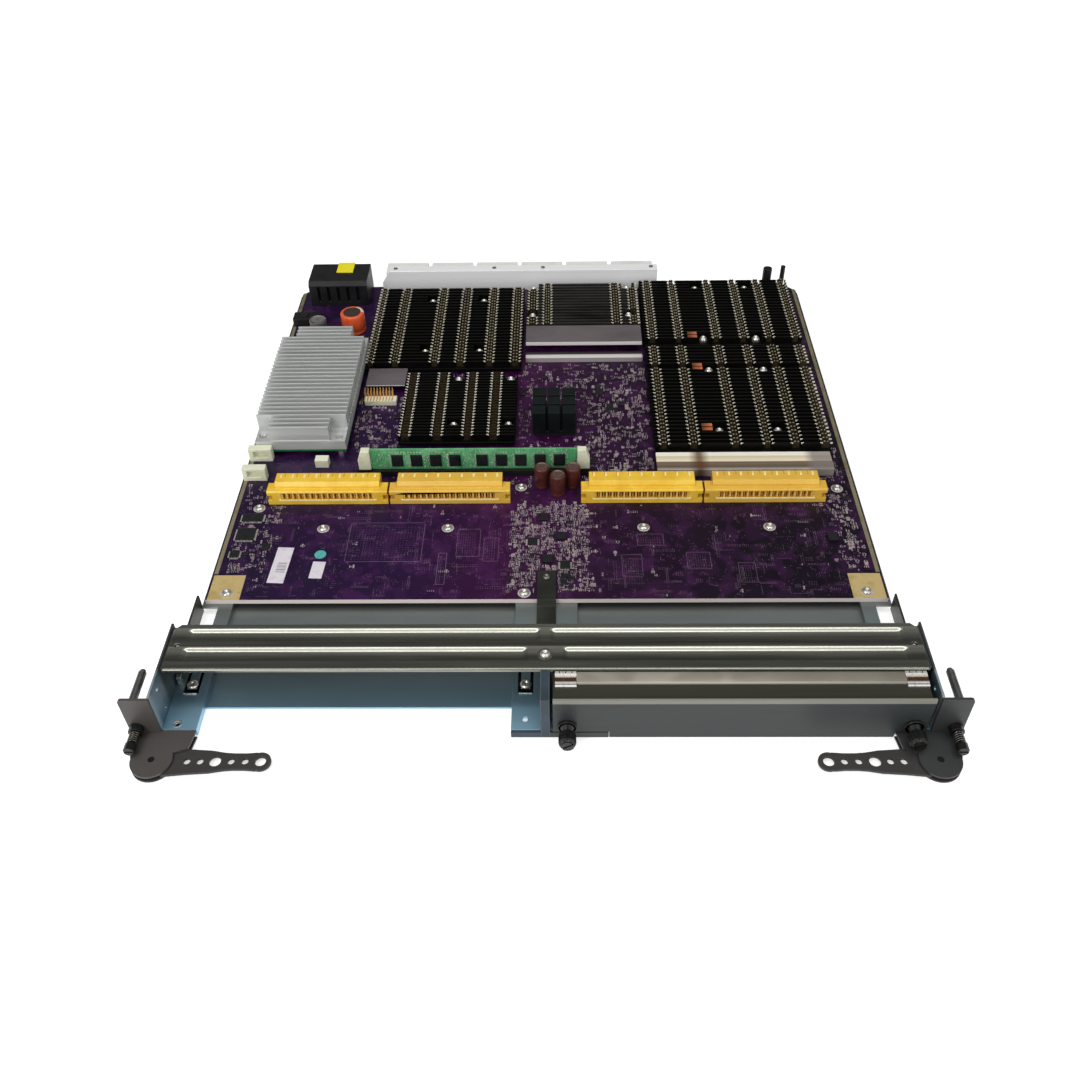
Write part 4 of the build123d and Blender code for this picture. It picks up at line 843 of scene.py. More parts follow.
# nodes that keep their CAD shape: their finish, and how far in mm their edges are rounded
print("sheet metal")
for node, finish, width in (
    ("base_tray", zincFloor, 0.3), ("left_side_wall", zincWall, 0.3), ("right_side_wall", zincWall, 0.3),
    ("left_faceplate_ear", earPaint, 0.0), ("right_faceplate_ear", earPaint, 0.0),
    ("pivot_plates", leverPaint, 0.3), ("left_lever", leverPaint, 0.45), ("right_lever", leverPaint, 0.45),
    ("screw_collars", blackScrew, 0.3), ("left_ear_screw", blackScrew, 0.3),
    ("right_ear_screw", blackScrew, 0.3), ("centre_divider", dividerPaint, 0.3),
    ("centre_strap", strapSteel, 0.3), ("filler_panel", fillerPaint, 0.7),
    ("power_heatsink", silverSink, 0.15), ("chip_heatsink", chipSinkBlack, 0.35),
    ("back_bar", backAluminium, 0.3), ("power_connector", blackPlastic, 0.4),
    ("rear_clip", blackPlastic, 0.5), ("board_shields", greyPlate, 0.3),
    ("right_shield", brightPlate, 0.35), ("memory_socket", socketBlack, 0.2),
    ("left_memory_latch", ivoryPlastic, 0.35), ("right_memory_latch", ivoryPlastic, 0.35),
    ("board_sockets", ivoryPlastic, 0.3), ("board_chips", chipBlack, 0.2),
    ("connector_tag", yellowTag, 0.2), ("rear_guide_posts", blackPlastic, 0.4),
    ("module_connector_1", connectorYellow, 0.3), ("module_connector_2", connectorYellow, 0.3),
    ("module_connector_3", connectorYellow, 0.3), ("module_connector_4", connectorYellow, 0.3),
    # the lever pins are painted dark as the shade in a hole
    ("guide_pins", pinSteel, 0.3), ("lever_pins", holeShade, 0.2),
    ("backplane_connectors", housingPlastic, 0.4), ("power_board", greenBoard, 0.2),
    ("heat_pipes", copperPipe, 0.15), ("wall_rivets", screwSteel, 0.5),
    ("board_standoffs", screwSteel, 0.2),
):
    softened(node, finish, width)
dressNode("main_board", boardPurple)

barValues = {"front": 19.6, "back": 51.0, "half": 198.6, "top": 31.75, "thick": 1.2, "depth": 1.0,
             "width": 9.4, "rows": (30.3, 43.4), "gaps": (10.0, 3.0), "middle": 1.0, "inset": 9.0,
             "corner": 3.5, "across": 360, "deep": 60, "slope": 1.0, "rearSlope": 2.4, "endSlope": 1.2,
             "beadCorner": 2.0, "cornerSoft": 0.3, "endZone": 8.0, "rollDeep": 1.4, "rollDown": 0.5,
             "holeAt": (194.1, 36.4), "holeRadius": 1.5}


def barHeight(x, y, v):
    # how far the sheet is pressed down at a place on the bar: steep in front, a wide slope at the rear
    reach = v["half"] - v["inset"]
    radius = v["width"] / 2
    press = 0.0
    for row, gap in zip(v["rows"], v["gaps"]):
        for left, right in ((-reach, v["middle"] - gap), (v["middle"] + gap, reach)):
            rear, ahead = row + radius - y, y - (row - radius)
            sideways = min(x - left, right - x)
            share = min(rear / v["rearSlope"], ahead / v["slope"], sideways / v["endSlope"])
            beside = max(0.0, v["beadCorner"] - sideways)
            across = max(0.0, v["beadCorner"] - min(rear, ahead))
            soft = v["beadCorner"] + v["cornerSoft"] - math.hypot(beside, across)
            share = min(max(share, 0.0), 1.0) * min(max(soft, 0.0), 1.0)
            press = max(press, share * share * (3 - 2 * share))
    return press * v["depth"]


def makeCrossBar(v):
    bm = bmesh.new()
    top, low = [], []
    zone = v["half"] - v["endZone"]
    for i in range(v["deep"] + 1):
        y = v["front"] + (v["back"] - v["front"]) * i / v["deep"]
        half = v["half"] - max(0.0, y - (v["back"] - v["corner"]))
        roll = v["rollDown"] * max(0.0, 1 - (y - v["front"]) / v["rollDeep"]) ** 2
        row = []
        for j in range(v["across"] + 1):
            x = -v["half"] + 2 * v["half"] * j / v["across"]
            if abs(x) > zone:
                x = math.copysign(zone + (abs(x) - zone) * (half - zone) / (v["half"] - zone), x)
            row.append((x, y, barHeight(x, y, v) + roll))
        top.append([place(x, y, v["top"] - press) for x, y, press in row])
        low.append([place(x, y, v["top"] - v["thick"] - press * 0.98) for x, y, press in row])
    top, low = ([[bm.verts.new(spot) for spot in row] for row in grid] for grid in (top, low))
    for i in range(v["deep"]):
        for j in range(v["across"]):
            bm.faces.new([top[i][j], top[i][j + 1], top[i + 1][j + 1], top[i + 1][j]]).smooth = True
            bm.faces.new([low[i][j], low[i + 1][j], low[i + 1][j + 1], low[i][j + 1]]).smooth = True
    rim = [(0, j) for j in range(v["across"])] + [(i, v["across"]) for i in range(v["deep"])]
    rim += [(v["deep"], j) for j in range(v["across"], 0, -1)] + [(i, 0) for i in range(v["deep"], 0, -1)]
    for (i, j), (k, m) in zip(rim, rim[1:] + rim[:1]):
        bm.faces.new([top[i][j], low[i][j], low[k][m], top[k][m]])
    bar = finishPiece(bm, "pressed_bar", [barSteel])
    holes = bmesh.new()
    for side in (-1, 1):
        x, y = v["holeAt"]
        addTurned(holes, [(v["holeRadius"], 0), (v["holeRadius"], 6)], 20, (side * x, y, v["top"] - 3))
    cutter = linkMesh("barHoles", holes)
    cut = bar.modifiers.new("holes", "BOOLEAN")
    cut.operation = "DIFFERENCE"
    cut.object = cutter
    cut.solver = "EXACT"
    shown = bar.evaluated_get(bpy.context.evaluated_depsgraph_get())
    plain = bpy.data.meshes.new_from_object(shown)
    bar.modifiers.clear()
    bar.data = plain
    bpy.data.objects.remove(cutter)
    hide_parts("cross_bar")
    return bar


makeCrossBar(barValues)

springValues = {"x": 211.4, "z": 9.2, "front": -10.6, "back": -4.3, "turns": 5.0, "radius": 2.35,
                "wire": 0.42, "steps": 26, "sides": 8}


def makeSpring(side, v):
    bm = bmesh.new()
    rings = []
    count = int(v["turns"] * v["steps"])
    for step in range(count + 1):
        turn = 2 * math.pi * step / v["steps"]
        rise = v["back"] + (v["front"] - v["back"]) * step / count
        out = Vector((math.cos(turn), 0, math.sin(turn)))
        ring = []
        for corner in range(v["sides"]):
            angle = 2 * math.pi * corner / v["sides"]
            away = v["radius"] + v["wire"] * math.cos(angle)
            ring.append(bm.verts.new(place(side * v["x"] + out.x * away, rise + v["wire"] * math.sin(angle),
                                           v["z"] + out.z * away)))
        rings.append(ring)
    joinRings(bm, rings, smooth=True)
    bm.faces.new(rings[0])
    bm.faces.new(rings[-1][::-1])
    name = "left" if side < 0 else "right"
    coil = finishPiece(bm, name + "_coil", [springSteel], stands=(name + "_ear_spring",))
    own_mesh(coil)
    return coil


for side in (-1, 1):
    makeSpring(side, springValues)

knobValues = {"shank": 1.5, "collar": 5.0, "collarBack": 0.0, "collarFront": -1.6, "neck": 2.9,
              "neckFront": -5.2, "knob": 4.6, "front": -12.4, "slot": 1.1, "face": -13.0, "rim": 1.1,
              "tilt": 35, "steps": 14, "sides": 56, "cut": 0.22}


def makeKnob(node, v):
    # flange, narrow neck and a ridged round head slotted across its front
    low, high = nodeBox(node)
    x, z = (low.x + high.x) / 2, (low.z + high.z) / 2
    collar, neck, knob = v["collar"], v["neck"], v["knob"]
    bm = bmesh.new()
    addTurned(bm, [(v["shank"], v["collarBack"]), (v["shank"], high.y)], 20, (x, 0, z), along="Y")
    flange = [(collar - 0.5, v["collarBack"]), (collar, v["collarBack"] - 0.4),
              (collar, v["collarFront"] + 0.3), (collar - 0.4, v["collarFront"]),
              (neck, v["collarFront"]), (neck, v["neckFront"])]
    addTurned(bm, flange, 28, (x, 0, z), along="Y")
    profile = [(neck + 0.4, v["neckFront"]), (knob - 0.3, v["neckFront"] - 0.35),
               (knob, v["neckFront"] - 1.0), (knob, v["front"] + 1.6), (knob - 0.35, v["front"] + 0.7),
               (knob - 1.0, v["front"])]
    rings = []
    for radius, y in profile:
        reach = (radius, radius - v["cut"])
        rings.append([bm.verts.new(place(x + reach[step % 2] * a, y, z + reach[step % 2] * b))
                      for step, (a, b) in enumerate(around(v["sides"]))])
    joinRings(bm, rings)
    bm.faces.new(rings[0])
    bm.faces.new(rings[-1][::-1])
    inner = knob - v["rim"]
    start = math.asin(v["slot"] / 2 / inner)
    arc = [start + (math.pi - 2 * start) * step / v["steps"] for step in range(v["steps"] + 1)]
    tilt = math.radians(v["tilt"])
    for half in (-1, 1):
        corners = [(inner * math.cos(turn), half * inner * math.sin(turn)) for turn in arc]
        corners = [(a * math.cos(tilt) - b * math.sin(tilt), a * math.sin(tilt) + b * math.cos(tilt))
                   for a, b in corners]
        ends = [[bm.verts.new(place(x + a, y, z + b)) for a, b in corners]
                for y in (v["front"] + 0.05, v["face"])]
        bm.faces.new(ends[0])
        bm.faces.new(ends[1])
        joinRings(bm, ends)
    finishPiece(bm, node.replace("filler_screw", "filler_knob"), [blackScrew],
                body=frame["nodes"][node]["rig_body"], stands=(node,))


for node in ("left_filler_screw", "right_filler_screw"):
    makeKnob(node, knobValues)

# gasket on the filler's lid
gasketValues = {"clip": 11.0, "front": 11.8, "back": 19.3, "lip": 9.8, "steps": 8}


def makeGasket(v):
    low, high = nodeBox("filler_gasket")
    bm = bmesh.new()
    left, right = low.x + v["clip"], high.x - v["clip"]
    outline = [(v["front"], low.z)]
    for step in range(v["steps"] + 1):
        turn = math.pi * (1 - step / v["steps"])
        outline.append((v["front"] + (v["back"] - v["front"]) * (0.5 + 0.5 * math.cos(turn)),
                        low.z + (high.z - low.z - 0.1) * (0.25 + 0.75 * math.sin(turn) ** 0.5)))
    outline.append((v["back"], low.z))
    addAcross(bm, outline, left, right)
    finishPiece(bm, "gasket_strip", [gasketFabric], stands=("filler_gasket",), smooth=True)
    bm = bmesh.new()
    top = high.z
    sheet = [(v["lip"], low.z), (v["lip"], low.z + 0.9), (v["lip"] + 0.8, low.z + 1.3),
             (v["front"] - 0.2, top - 0.9), (v["front"] + 0.8, top - 0.3), (v["front"] + 3.4, top - 0.55),
             (v["back"] - 1.8, top - 0.1), (v["back"] - 0.6, top), (v["back"], top - 0.4),
             (v["back"], low.z)]
    for x0, x1 in ((low.x, left), (right, high.x)):
        addAcross(bm, sheet, x0, x1)
    finishPiece(bm, "gasket_clips", [clipSteel])
    slots = [((middle + side * 3.2, v["back"] - 1.1, top - 0.1), (0.5, 1.2, 0.1))
             for middle in ((low.x + left) / 2, (right + high.x) / 2) for side in (-1, 0, 1)]
    spread("gasket_clip_slots", shapes["mark"], socketBlack, slots)


makeGasket(gasketValues)

# dark finned heatsinks
finValues = {"flange": 1.5, "floor": 12.5, "low": 10.5, "top": 18.2, "margin": 1.5, "pocket": 8.4,
             "tipWide": 1.7, "tipDeep": 0.6, "tipTall": 0.8, "tipProud": 0.12, "tipClear": 0.8,
             "inset": 1.2, "stripDeep": 0.8, "stripLow": 0.7, "dotShares": (0.27, 0.73),
             "dotSize": (0.9, 0.45, 0.6), "headSize": (6.4, 6.4, 3.6)}
sinks = {
    "left_rear_heatsink": {
        "dotted": True, "pitch": 4.0, "edges": (-132.2, -18.5, 315.0, 417.0),
        "pairs": ((-133.0, -126.5), (-114.4, -107.7), (-85.4, -78.8), (-67.0, -59.8),
             (-45.5, -39.0), (-27.0, -19.8)),
        "screws": ((-90.0, 333.0), (-50.0, 333.0), (-90.0, 402.0), (-50.0, 402.0))},
    "left_front_heatsink": {
        "dotted": False, "pitch": 3.2, "edges": (-99.5, -21.0, 229.5, 303.0),
        "pairs": ((-98.6, -91.5), (-77.2, -69.8), (-56.4, -49.6), (-39.2, -32.1)),
        "screws": ((-63.0, 245.6), (-25.8, 245.6), (-63.0, 298.0), (-25.8, 298.0))},
    "centre_heatsink": {
        "dotted": True, "fins": finGreyLit, "pitch": 4.0, "edges": (-16.0, 70.0, 363.0, 424.0),
        "pairs": ((-15.0, -8.0), (-3.5, 3.0), (49.0, 56.0), (62.5, 69.5)),
        "screws": ((-11.5, 381.0), (62.0, 381.0), (-11.5, 419.5), (62.0, 419.5))},
    "right_rear_heatsink": {
        "dotted": True, "pitch": 4.0, "edges": (72.0, 188.5, 343.0, 426.5),
        "pairs": ((75.0, 81.2), (94.8, 100.5), (122.4, 128.4), (142.7, 148.8), (161.5, 167.7),
             (181.0, 187.4)), "screws": ((116.0, 348.0), (155.0, 348.0), (116.0, 418.0), (155.0, 418.0))},
    "right_front_heatsink": {
        "dotted": True, "pitch": 4.0, "cut": 307.0, "edges": (72.0, 188.0, 218.0, 334.5),
        "pairs": ((74.8, 81.0), (94.4, 101.0), (121.9, 128.6), (142.9, 149.2), (161.2, 168.2),
             (180.6, 187.6)), "screws": ((116.0, 237.5), (155.0, 237.5), (116.0, 307.5), (155.0, 307.5))},
}


def clearOf(x0, x1, y, screws, half):
    # the parts of a fin that stand outside the screw pockets
    spans = [(x0, x1)]
    for screwX, screwY in screws:
        if abs(y - screwY) < half:
            cut = []
            for a, b in spans:
                if b <= screwX - half or a >= screwX + half:
                    cut.append((a, b))
                    continue
                if a < screwX - half:
                    cut.append((a, screwX - half))
                if b > screwX + half:
                    cut.append((screwX + half, b))
            spans = cut
    return [(a, b) for a, b in spans if b - a > 0.5]


def makeFinnedSink(name, parts, v):
    left, right, front, back = parts["edges"]
    bm = bmesh.new()
    addBox(bm, left, right, front, back, v["low"], v["floor"])
    finishPiece(bm, name + "_base", [finBlack], bevel=0.3, stands=(name,))
    fins, tips, strips, dots = [], [], [], []
    pitch = parts["pitch"]
    count = int((back - front - v["margin"]) // pitch) + 1
    start = front + (back - front - (count - 1) * pitch) / 2
    tall = v["top"] - v["floor"]
    pocket = v["pocket"] / 2
    for row in range(count):
        y = start + row * pitch
        if abs(y - parts.get("cut", -1)) < pitch / 2:
            continue
        edges = [left]
        for a, b in parts["pairs"]:
            edges += [max(a, left), min(b, right)]
        edges.append(right)
        for index in range(0, len(edges) - 1, 2):
            for a, b in clearOf(edges[index], edges[index + 1], y, parts["screws"], pocket):
                fins.append((((a + b) / 2, y, v["floor"]), (b - a, v["flange"], tall)))
        for a, b in parts["pairs"]:
            for x in (a, b):
                x = min(max(x, left + v["tipWide"] / 2), right - v["tipWide"] / 2)
                if clearOf(x - v["tipClear"], x + v["tipClear"], y, parts["screws"], pocket):
                    tips.append(((x, y, v["top"] - v["tipTall"]),
                                 (v["tipWide"], v["tipDeep"], v["tipTall"] + v["tipProud"])))
            first, last = max(a, left) + v["inset"], min(b, right) - v["inset"]
            for c, d in clearOf(first, last, y, parts["screws"], pocket):
                behind = y + pitch / 2
                strips.append((((c + d) / 2, behind, v["floor"]),
                               (d - c, v["stripDeep"], tall - v["stripLow"])))
                if parts["dotted"] and d - c > 3:
                    dots += [((c + (d - c) * share, behind, v["top"] - v["stripLow"]), v["dotSize"])
                             for share in v["dotShares"]]
    # fin tips, strips between the fins and dots on them: painted highlights and painted light in the
    # cross-cut columns
    spread(name + "_fins", shapes["fin"], parts.get("fins", finBlack), fins)
    spread(name + "_tips", shapes["mark"], dimTipHighlight if parts["dotted"] else finTipHighlight, tips)
    spread(name + "_strips", shapes["mark"], finGapLight, strips)
    if dots:
        spread(name + "_dots", shapes["mark"], finDotHighlight, dots)


print("heatsinks")
for name, parts in sinks.items():
    makeFinnedSink(name, parts, finValues)
sinkScrews = [((x, y, finValues["floor"]), finValues["headSize"]) for parts in sinks.values()
              for x, y in parts["screws"]]

# screws with a drive, and washers under some
boardTop = 8.0
boardScrews = [(x, y, boardTop) for x, y in (
    (-186.4, 96.3), (186.4, 96.3), (-138.2, 151.1), (-60.6, 151.1), (60.6, 151.1), (138.2, 151.1),
    (186.0, 186.3), (-16.0, 189.0), (-12.0, 95.9), (-181.9, 170.0))]
railSpots = (-191.0, -9.8, 191.0)
barScrew = (1.0, 30.0)
dressNode("power_screws", screwSteel)
for name, kind, finish, spots, stands in (
    ("sink_screw_heads", "head", screwSteel, sinkScrews, ("heatsink_screws",)),
    ("board_screw_heads", "head", screwSteel, [(spot, (6.0, 6.0, 1.6)) for spot in boardScrews],
     ("board_screws",)),
    ("board_screw_pads", "ring", padTin, [(spot, (7.6, 7.6, 0.08)) for spot in boardScrews], ()),
    ("chassis_screw_heads", "head", darkScrew, [((1.0, 107.0, 9.5), (4.8, 4.8, 1.6))] + [
        ((x, 434.75, 25.5), (3.2, 3.2, 0.8)) for x in (-122.0, -43.0, -4.0, 82.0)], ("chassis_screws",)),
    ("bright_screw_heads", "head", screwSteel, [((x, 31.2, 4.7), (6.4, 6.4, 1.7)) for x in railSpots] + [
        ((*barScrew, 31.75), (5.6, 5.6, 1.6))], ()),
    ("bar_end_rivets", "head", screwSteel, [
        ((side * 194.1, 36.4, 29.2), (2.8, 2.8, 1.6)) for side in (-1, 1)], ()),
    ("bar_screw_washer", "ring", darkScrew, [((*barScrew, 31.72), (8.0, 8.0, 0.25))], ()),
):
    spread(name, shapes[kind], finish, spots, stands=stands, smooth=kind == "head")

railValues = {"window": (8.2, 25.6, 40.8), "under": 3.4, "wall": 0.8, "hole": (-192.9, 5.5),
              "tab": (199.0, 31.2, 34.2, 4.6, 11.0)}


def makeRailParts(v):
    # painted shade seen through the rail windows and the wall holes, as dark pockets under them, a bright
    # lip in front of each window, and the walls' turned tabs
    wide, front, back = v["window"]
    under, wall = v["under"], v["wall"]
    bm = bmesh.new()
    for x in railSpots:
        left, right = x - wide / 2, x + wide / 2
        addBox(bm, left - wall, right + wall, front - wall, back + wall, 1.3, 2.0)
        addBox(bm, left - wall, left, front, back, 2.0, under)
        addBox(bm, right, right + wall, front, back, 2.0, under)
        addBox(bm, left, right, front - wall, front, 2.0, under)
        addBox(bm, left, right, back, back + wall, 2.0, under)
    for side in (-1, 1):
        addTurned(bm, [(2.4, 1.0), (2.4, 2.2)], 20, (side * v["hole"][0], v["hole"][1], 0))
    finishPiece(bm, "rail_pockets", [holeShade])
    bm = bmesh.new()
    for x in railSpots:
        addBox(bm, x - wide / 2 + 0.4, x + wide / 2 - 0.4, front - 1.0, front - 0.1, 4.8, 5.5)
    reach, y0, y1, z0, z1 = v["tab"]
    for side in (-1, 1):
        inner, outer = sorted((side * (reach - 2.6), side * reach))
        addBox(bm, inner, outer, y0, y1, z0, z1)
    finishPiece(bm, "rail_lips", [screwSteel], bevel=0.32, segments=3)
    spots = [((side * v["hole"][0], v["hole"][1], 4.8), (5.2, 5.2, 0.16)) for side in (-1, 1)]
    spread("rail_hole_rims", shapes["ring"], screwSteel, spots)


makeRailParts(railValues)

# yellow connectors: teeth and contacts in the slot, ribs on the back, a lip along the front; ribs and lips
# are paler for painted highlights along the top and front edges
connectorValues = {"centres": (-138.2, -60.6, 60.6, 138.2), "slot": 59.0, "teeth": 16, "front": 173.5,
                   "toothSize": (1.0, 4.6, 5.9), "contactSize": (0.9, 3.4, 5.2), "base": 11.35,
                   "ribs": 9, "ribSpan": 60.0, "ribSize": (1.2, 3.4, 1.0), "lipSize": (62.0, 0.45, 1.1)}


def makeConnectorTeeth(v):
    teeth, gold, ribs, lips = [], [], [], []
    pitch = v["slot"] / v["teeth"]
    for centre in v["centres"]:
        left, right = centre - v["slot"] / 2, centre + v["slot"] / 2
        for tooth in range(v["teeth"] + 1):
            x = min(max(left + tooth * pitch, left + 0.5), right - 0.5)
            teeth.append(((x, v["front"] + 3.2, v["base"]), v["toothSize"]))
            if tooth < v["teeth"]:
                gold.append(((x + pitch / 2, v["front"] + 4.4, v["base"]), v["contactSize"]))
        lips.append(((centre, v["front"] - 0.25, 11.3), v["lipSize"]))
        for rib in range(v["ribs"]):
            x = centre - v["ribSpan"] / 2 + rib * v["ribSpan"] / (v["ribs"] - 1)
            ribs.append(((x, v["front"] + 11.6, 21.4), v["ribSize"]))
    spread("connector_teeth", shapes["block"], toothYellow, teeth)
    spread("connector_contacts", shapes["block"], contactGold, gold)
    spread("connector_ribs", shapes["block"], connectorHighlight, ribs)
    spread("connector_lips", shapes["block"], connectorHighlight, lips)


print("connectors and memory")
makeConnectorTeeth(connectorValues)

memoryValues = {"left": -113.4, "length": 133.35, "y": 203.0, "thick": 1.27, "low": 9.6, "high": 28.5,
                "chips": [-96.3 + 12.5 * k for k in range(4)] + [-41.2 + 12.5 * k for k in range(5)],
                "chipWide": 7.2, "chipLow": 15.0, "chipHigh": 24.0, "partSize": (1.0, 0.6, 0.45),
                "seed": 5, "scattered": 260}


def makeMemory(v):
    bm = bmesh.new()
    left, right = v["left"], v["left"] + v["length"]
    outline = [(left, v["low"]), (right, v["low"]), (right, 17.0), (right - 1.6, 18.2), (right, 19.4),
               (right, v["high"]), (left, v["high"]), (left, 19.4), (left + 1.6, 18.2), (left, 17.0)]
    sides = (v["y"], v["y"] + v["thick"])
    joinEnds(bm, *([bm.verts.new(place(x, y, z)) for x, z in outline] for y in sides))
    finishPiece(bm, "memory_board", [memoryGreen], stands=("memory_module",), bevel=0.1, segments=1)
    chips, parts = [], []
    rng = random.Random(v["seed"])
    for x in v["chips"]:
        chips.append(((x, v["y"], (v["chipLow"] + v["chipHigh"]) / 2),
                      (v["chipWide"], v["chipHigh"] - v["chipLow"], 1.0), (90, 0, 0)))
        for step in range(7):
            parts.append(((x - 4.6 + rng.uniform(-0.3, 0.3), v["y"], 14.4 + step * 1.6), v["partSize"],
                          (90, 90 if step % 2 else 0, 0)))
        for step in range(4):
            parts.append(((x - 3 + step * 2.0, v["y"], 26.0), v["partSize"], (90, 0, 0)))
    for _ in range(v["scattered"]):
        x, z = rng.uniform(left + 4, right - 4), rng.uniform(13.5, 27.5)
        if all(abs(x - chip) > v["chipWide"] / 2 + 0.6 or not 14.2 < z < 24.8 for chip in v["chips"]):
            parts.append(((x, v["y"], z), (0.9, 0.45, 0.4), (90, rng.choice((0, 90)), 0)))
    spread("memory_chips", shapes["block"], chipBlack, chips)
    spread("memory_small_parts", shapes["part"], memoryPart, parts)


makeMemory(memoryValues)

# capacitors: places, radius, height of the top, sleeve
cans = {"orange_capacitor": (((-149.0, 374.0),), 9.0, 24.0, orangeSleeve),
        "grey_capacitor": (((-175.5, 371.0),), 6.4, 20.0, greySleeve),
        "brown_capacitors": (((-2.6, 191.0), (7.6, 183.4), (17.3, 191.0)), 4.8, 24.0, brownSleeve)}
for name, (places, radius, top, finish) in cans.items():
    bm = bmesh.new()
    bm.loops.layers.uv.new("UVMap")
    tall = top - boardTop
    profile = [(radius * share, level) for share, level in (
        (0.9, 0), (0.98, 0.3), (1, 0.9), (1, tall * 0.12), (0.93, tall * 0.17), (1, tall * 0.22),
        (1, tall - 1.1), (0.97, tall - 0.5), (0.88, tall - 0.1), (0.74, tall - 0.1), (0.7, tall - 0.35),
        (0.66, tall - 0.35))]
    for x, y in places:
        addTurned(bm, profile, 32, (x, y, boardTop), mapName="UVMap")
    finishPiece(bm, "sleeved_" + name, [finish], stands=(name,), smooth=True)
    vents = [((x, y, top - 0.37), (radius * 1.1, 0.35, 0.05), (0, 0, turn))
             for x, y in places for turn in (25, 115)]
    spread("vents_" + name, shapes["mark"], darkScrew, vents)

# everything small on the board
boardValues = {"seed": 11, "parts": 4200, "chips": 46, "tries": 12000, "cell": 1.15, "groups": 230,
               "lines": 420}
# the CAD's flat chips: place, width, depth, and whether leads are set round them
flatChips = ((-184.0, 160.5, 13.0, 6.5, True), (-185.3, 145.5, 11.5, 10.0, True),
             (-188.6, 128.2, 5.5, 5.5, True), (-1.5, 160.0, 6.0, 6.0, False), (-7.8, 138.0, 6.0, 6.0, True),
             (1.5, 123.0, 6.0, 6.0, False), (9.5, 143.0, 6.0, 6.0, False), (12.0, 118.0, 6.0, 6.0, True),
             (175.0, 141.0, 6.0, 6.0, False))
# where no small part or print may lie: under and round the larger parts
footprints = []
for node in ("module_connector_1", "module_connector_2", "module_connector_3", "module_connector_4",
             "memory_socket", "power_board", "power_connector", "rear_clip", "chip_heatsink",
             "orange_capacitor", "grey_capacitor", "left_rear_heatsink", "left_front_heatsink",
             "centre_heatsink", "right_rear_heatsink", "right_front_heatsink", "right_shield",
             "centre_strap"):
    low, high = nodeBox(node)
    footprints.append((low.x - 1.2, high.x + 1.2, low.y - 1.2, high.y + 1.2))
footprints += [(-17.5, 71.5, 326.0, 364.0), (-131.0, -99.5, 290.0, 314.0), (-199.0, -180.0, 193.0, 225.0),
               (-154.0, -142.0, 208.0, 217.0), (-130.0, -104.0, 275.0, 285.5), (-9.5, 24.5, 176.0, 198.0),
               (-198.0, -176.0, 90.0, 112.5), (176.0, 198.0, 90.0, 112.5), (-134.0, 88.0, 428.0, 448.0),
               (-166.0, -152.0, 102.0, 137.0), (-140.0, -131.0, 113.0, 133.0), (-198.0, -192.5, 90.0, 437.0),
               (192.5, 198.0, 90.0, 437.0)]
for x, y, wide, deep, leaded in flatChips:
    footprints.append((x - wide / 2 - 1.5, x + wide / 2 + 1.5, y - deep / 2 - 1.5, y + deep / 2 + 1.5))
for x, y, z in boardScrews:
    footprints.append((x - 5, x + 5, y - 5, y + 5))


def isFree(x, y, margin=0.0):
    if not (-197 < x < 197 and 92.5 < y < 435):
        return False
    if y > 424 and abs(x) > 184:
        return False
    return not any(a - margin < x < b + margin and c - margin < y < d + margin for a, b, c, d in footprints)


# left, right, front, back, share of the small parts
partZones = ((-22, 26, 96, 172, 0.30), (20, 71, 196, 327, 0.28), (-21, 20, 215, 326, 0.10),
             (176, 192, 113, 300, 0.07), (-192, -168, 113, 190, 0.05), (-132, -100, 222, 290, 0.07),
             (-130, -22, 303, 315, 0.02), (-100, 60, 183, 203, 0.04), (26, 172, 183, 198, 0.02),
             (-196, 196, 92, 172, 0.03), (-180, -134, 345, 362, 0.01), (88, 196, 426, 434, 0.01))


def scatterParts(v):
    # runs of small parts on a grid, then a few square chips
    rng = random.Random(v["seed"])
    parts, chips, taken = [], [], set()
    cell = v["cell"]
    for left, right, front, back, share in partZones:
        wanted = int(v["parts"] * share)
        tries = 0
        while wanted > 0 and tries < v["tries"]:
            tries += 1
            x, y = rng.uniform(left, right), rng.uniform(front, back)
            run = rng.choice((1, 1, 2, 3, 4, 6))
            turned = rng.random() < 0.5
            for step in range(run):
                px = x + (step * cell if turned else 0)
                py = y + (0 if turned else step * cell)
                key = (round(px / cell), round(py / cell))
                if key in taken or not isFree(px, py):
                    continue
                taken.add(key)
                wanted -= 1
                size = rng.choice(((0.8, 0.4, 0.35), (0.8, 0.4, 0.35), (1.0, 0.5, 0.4), (1.0, 0.5, 0.4),
                                   (1.3, 0.7, 0.5), (1.9, 1.0, 0.8)))
                parts.append(((px, py, boardTop), size, (0, 0, 90 if turned else 0)))
    for _ in range(v["chips"]):
        left, right, front, back, share = partZones[rng.choice((0, 0, 1, 1, 2, 3, 4, 5))]
        x, y = rng.uniform(left, right), rng.uniform(front, back)
        size = rng.choice((3.0, 4.0, 5.0))
        if isFree(x, y, size / 2):
            chips.append(((x, y, boardTop), (size, size * rng.choice((0.6, 1.0)), 0.9)))
    return parts, chips


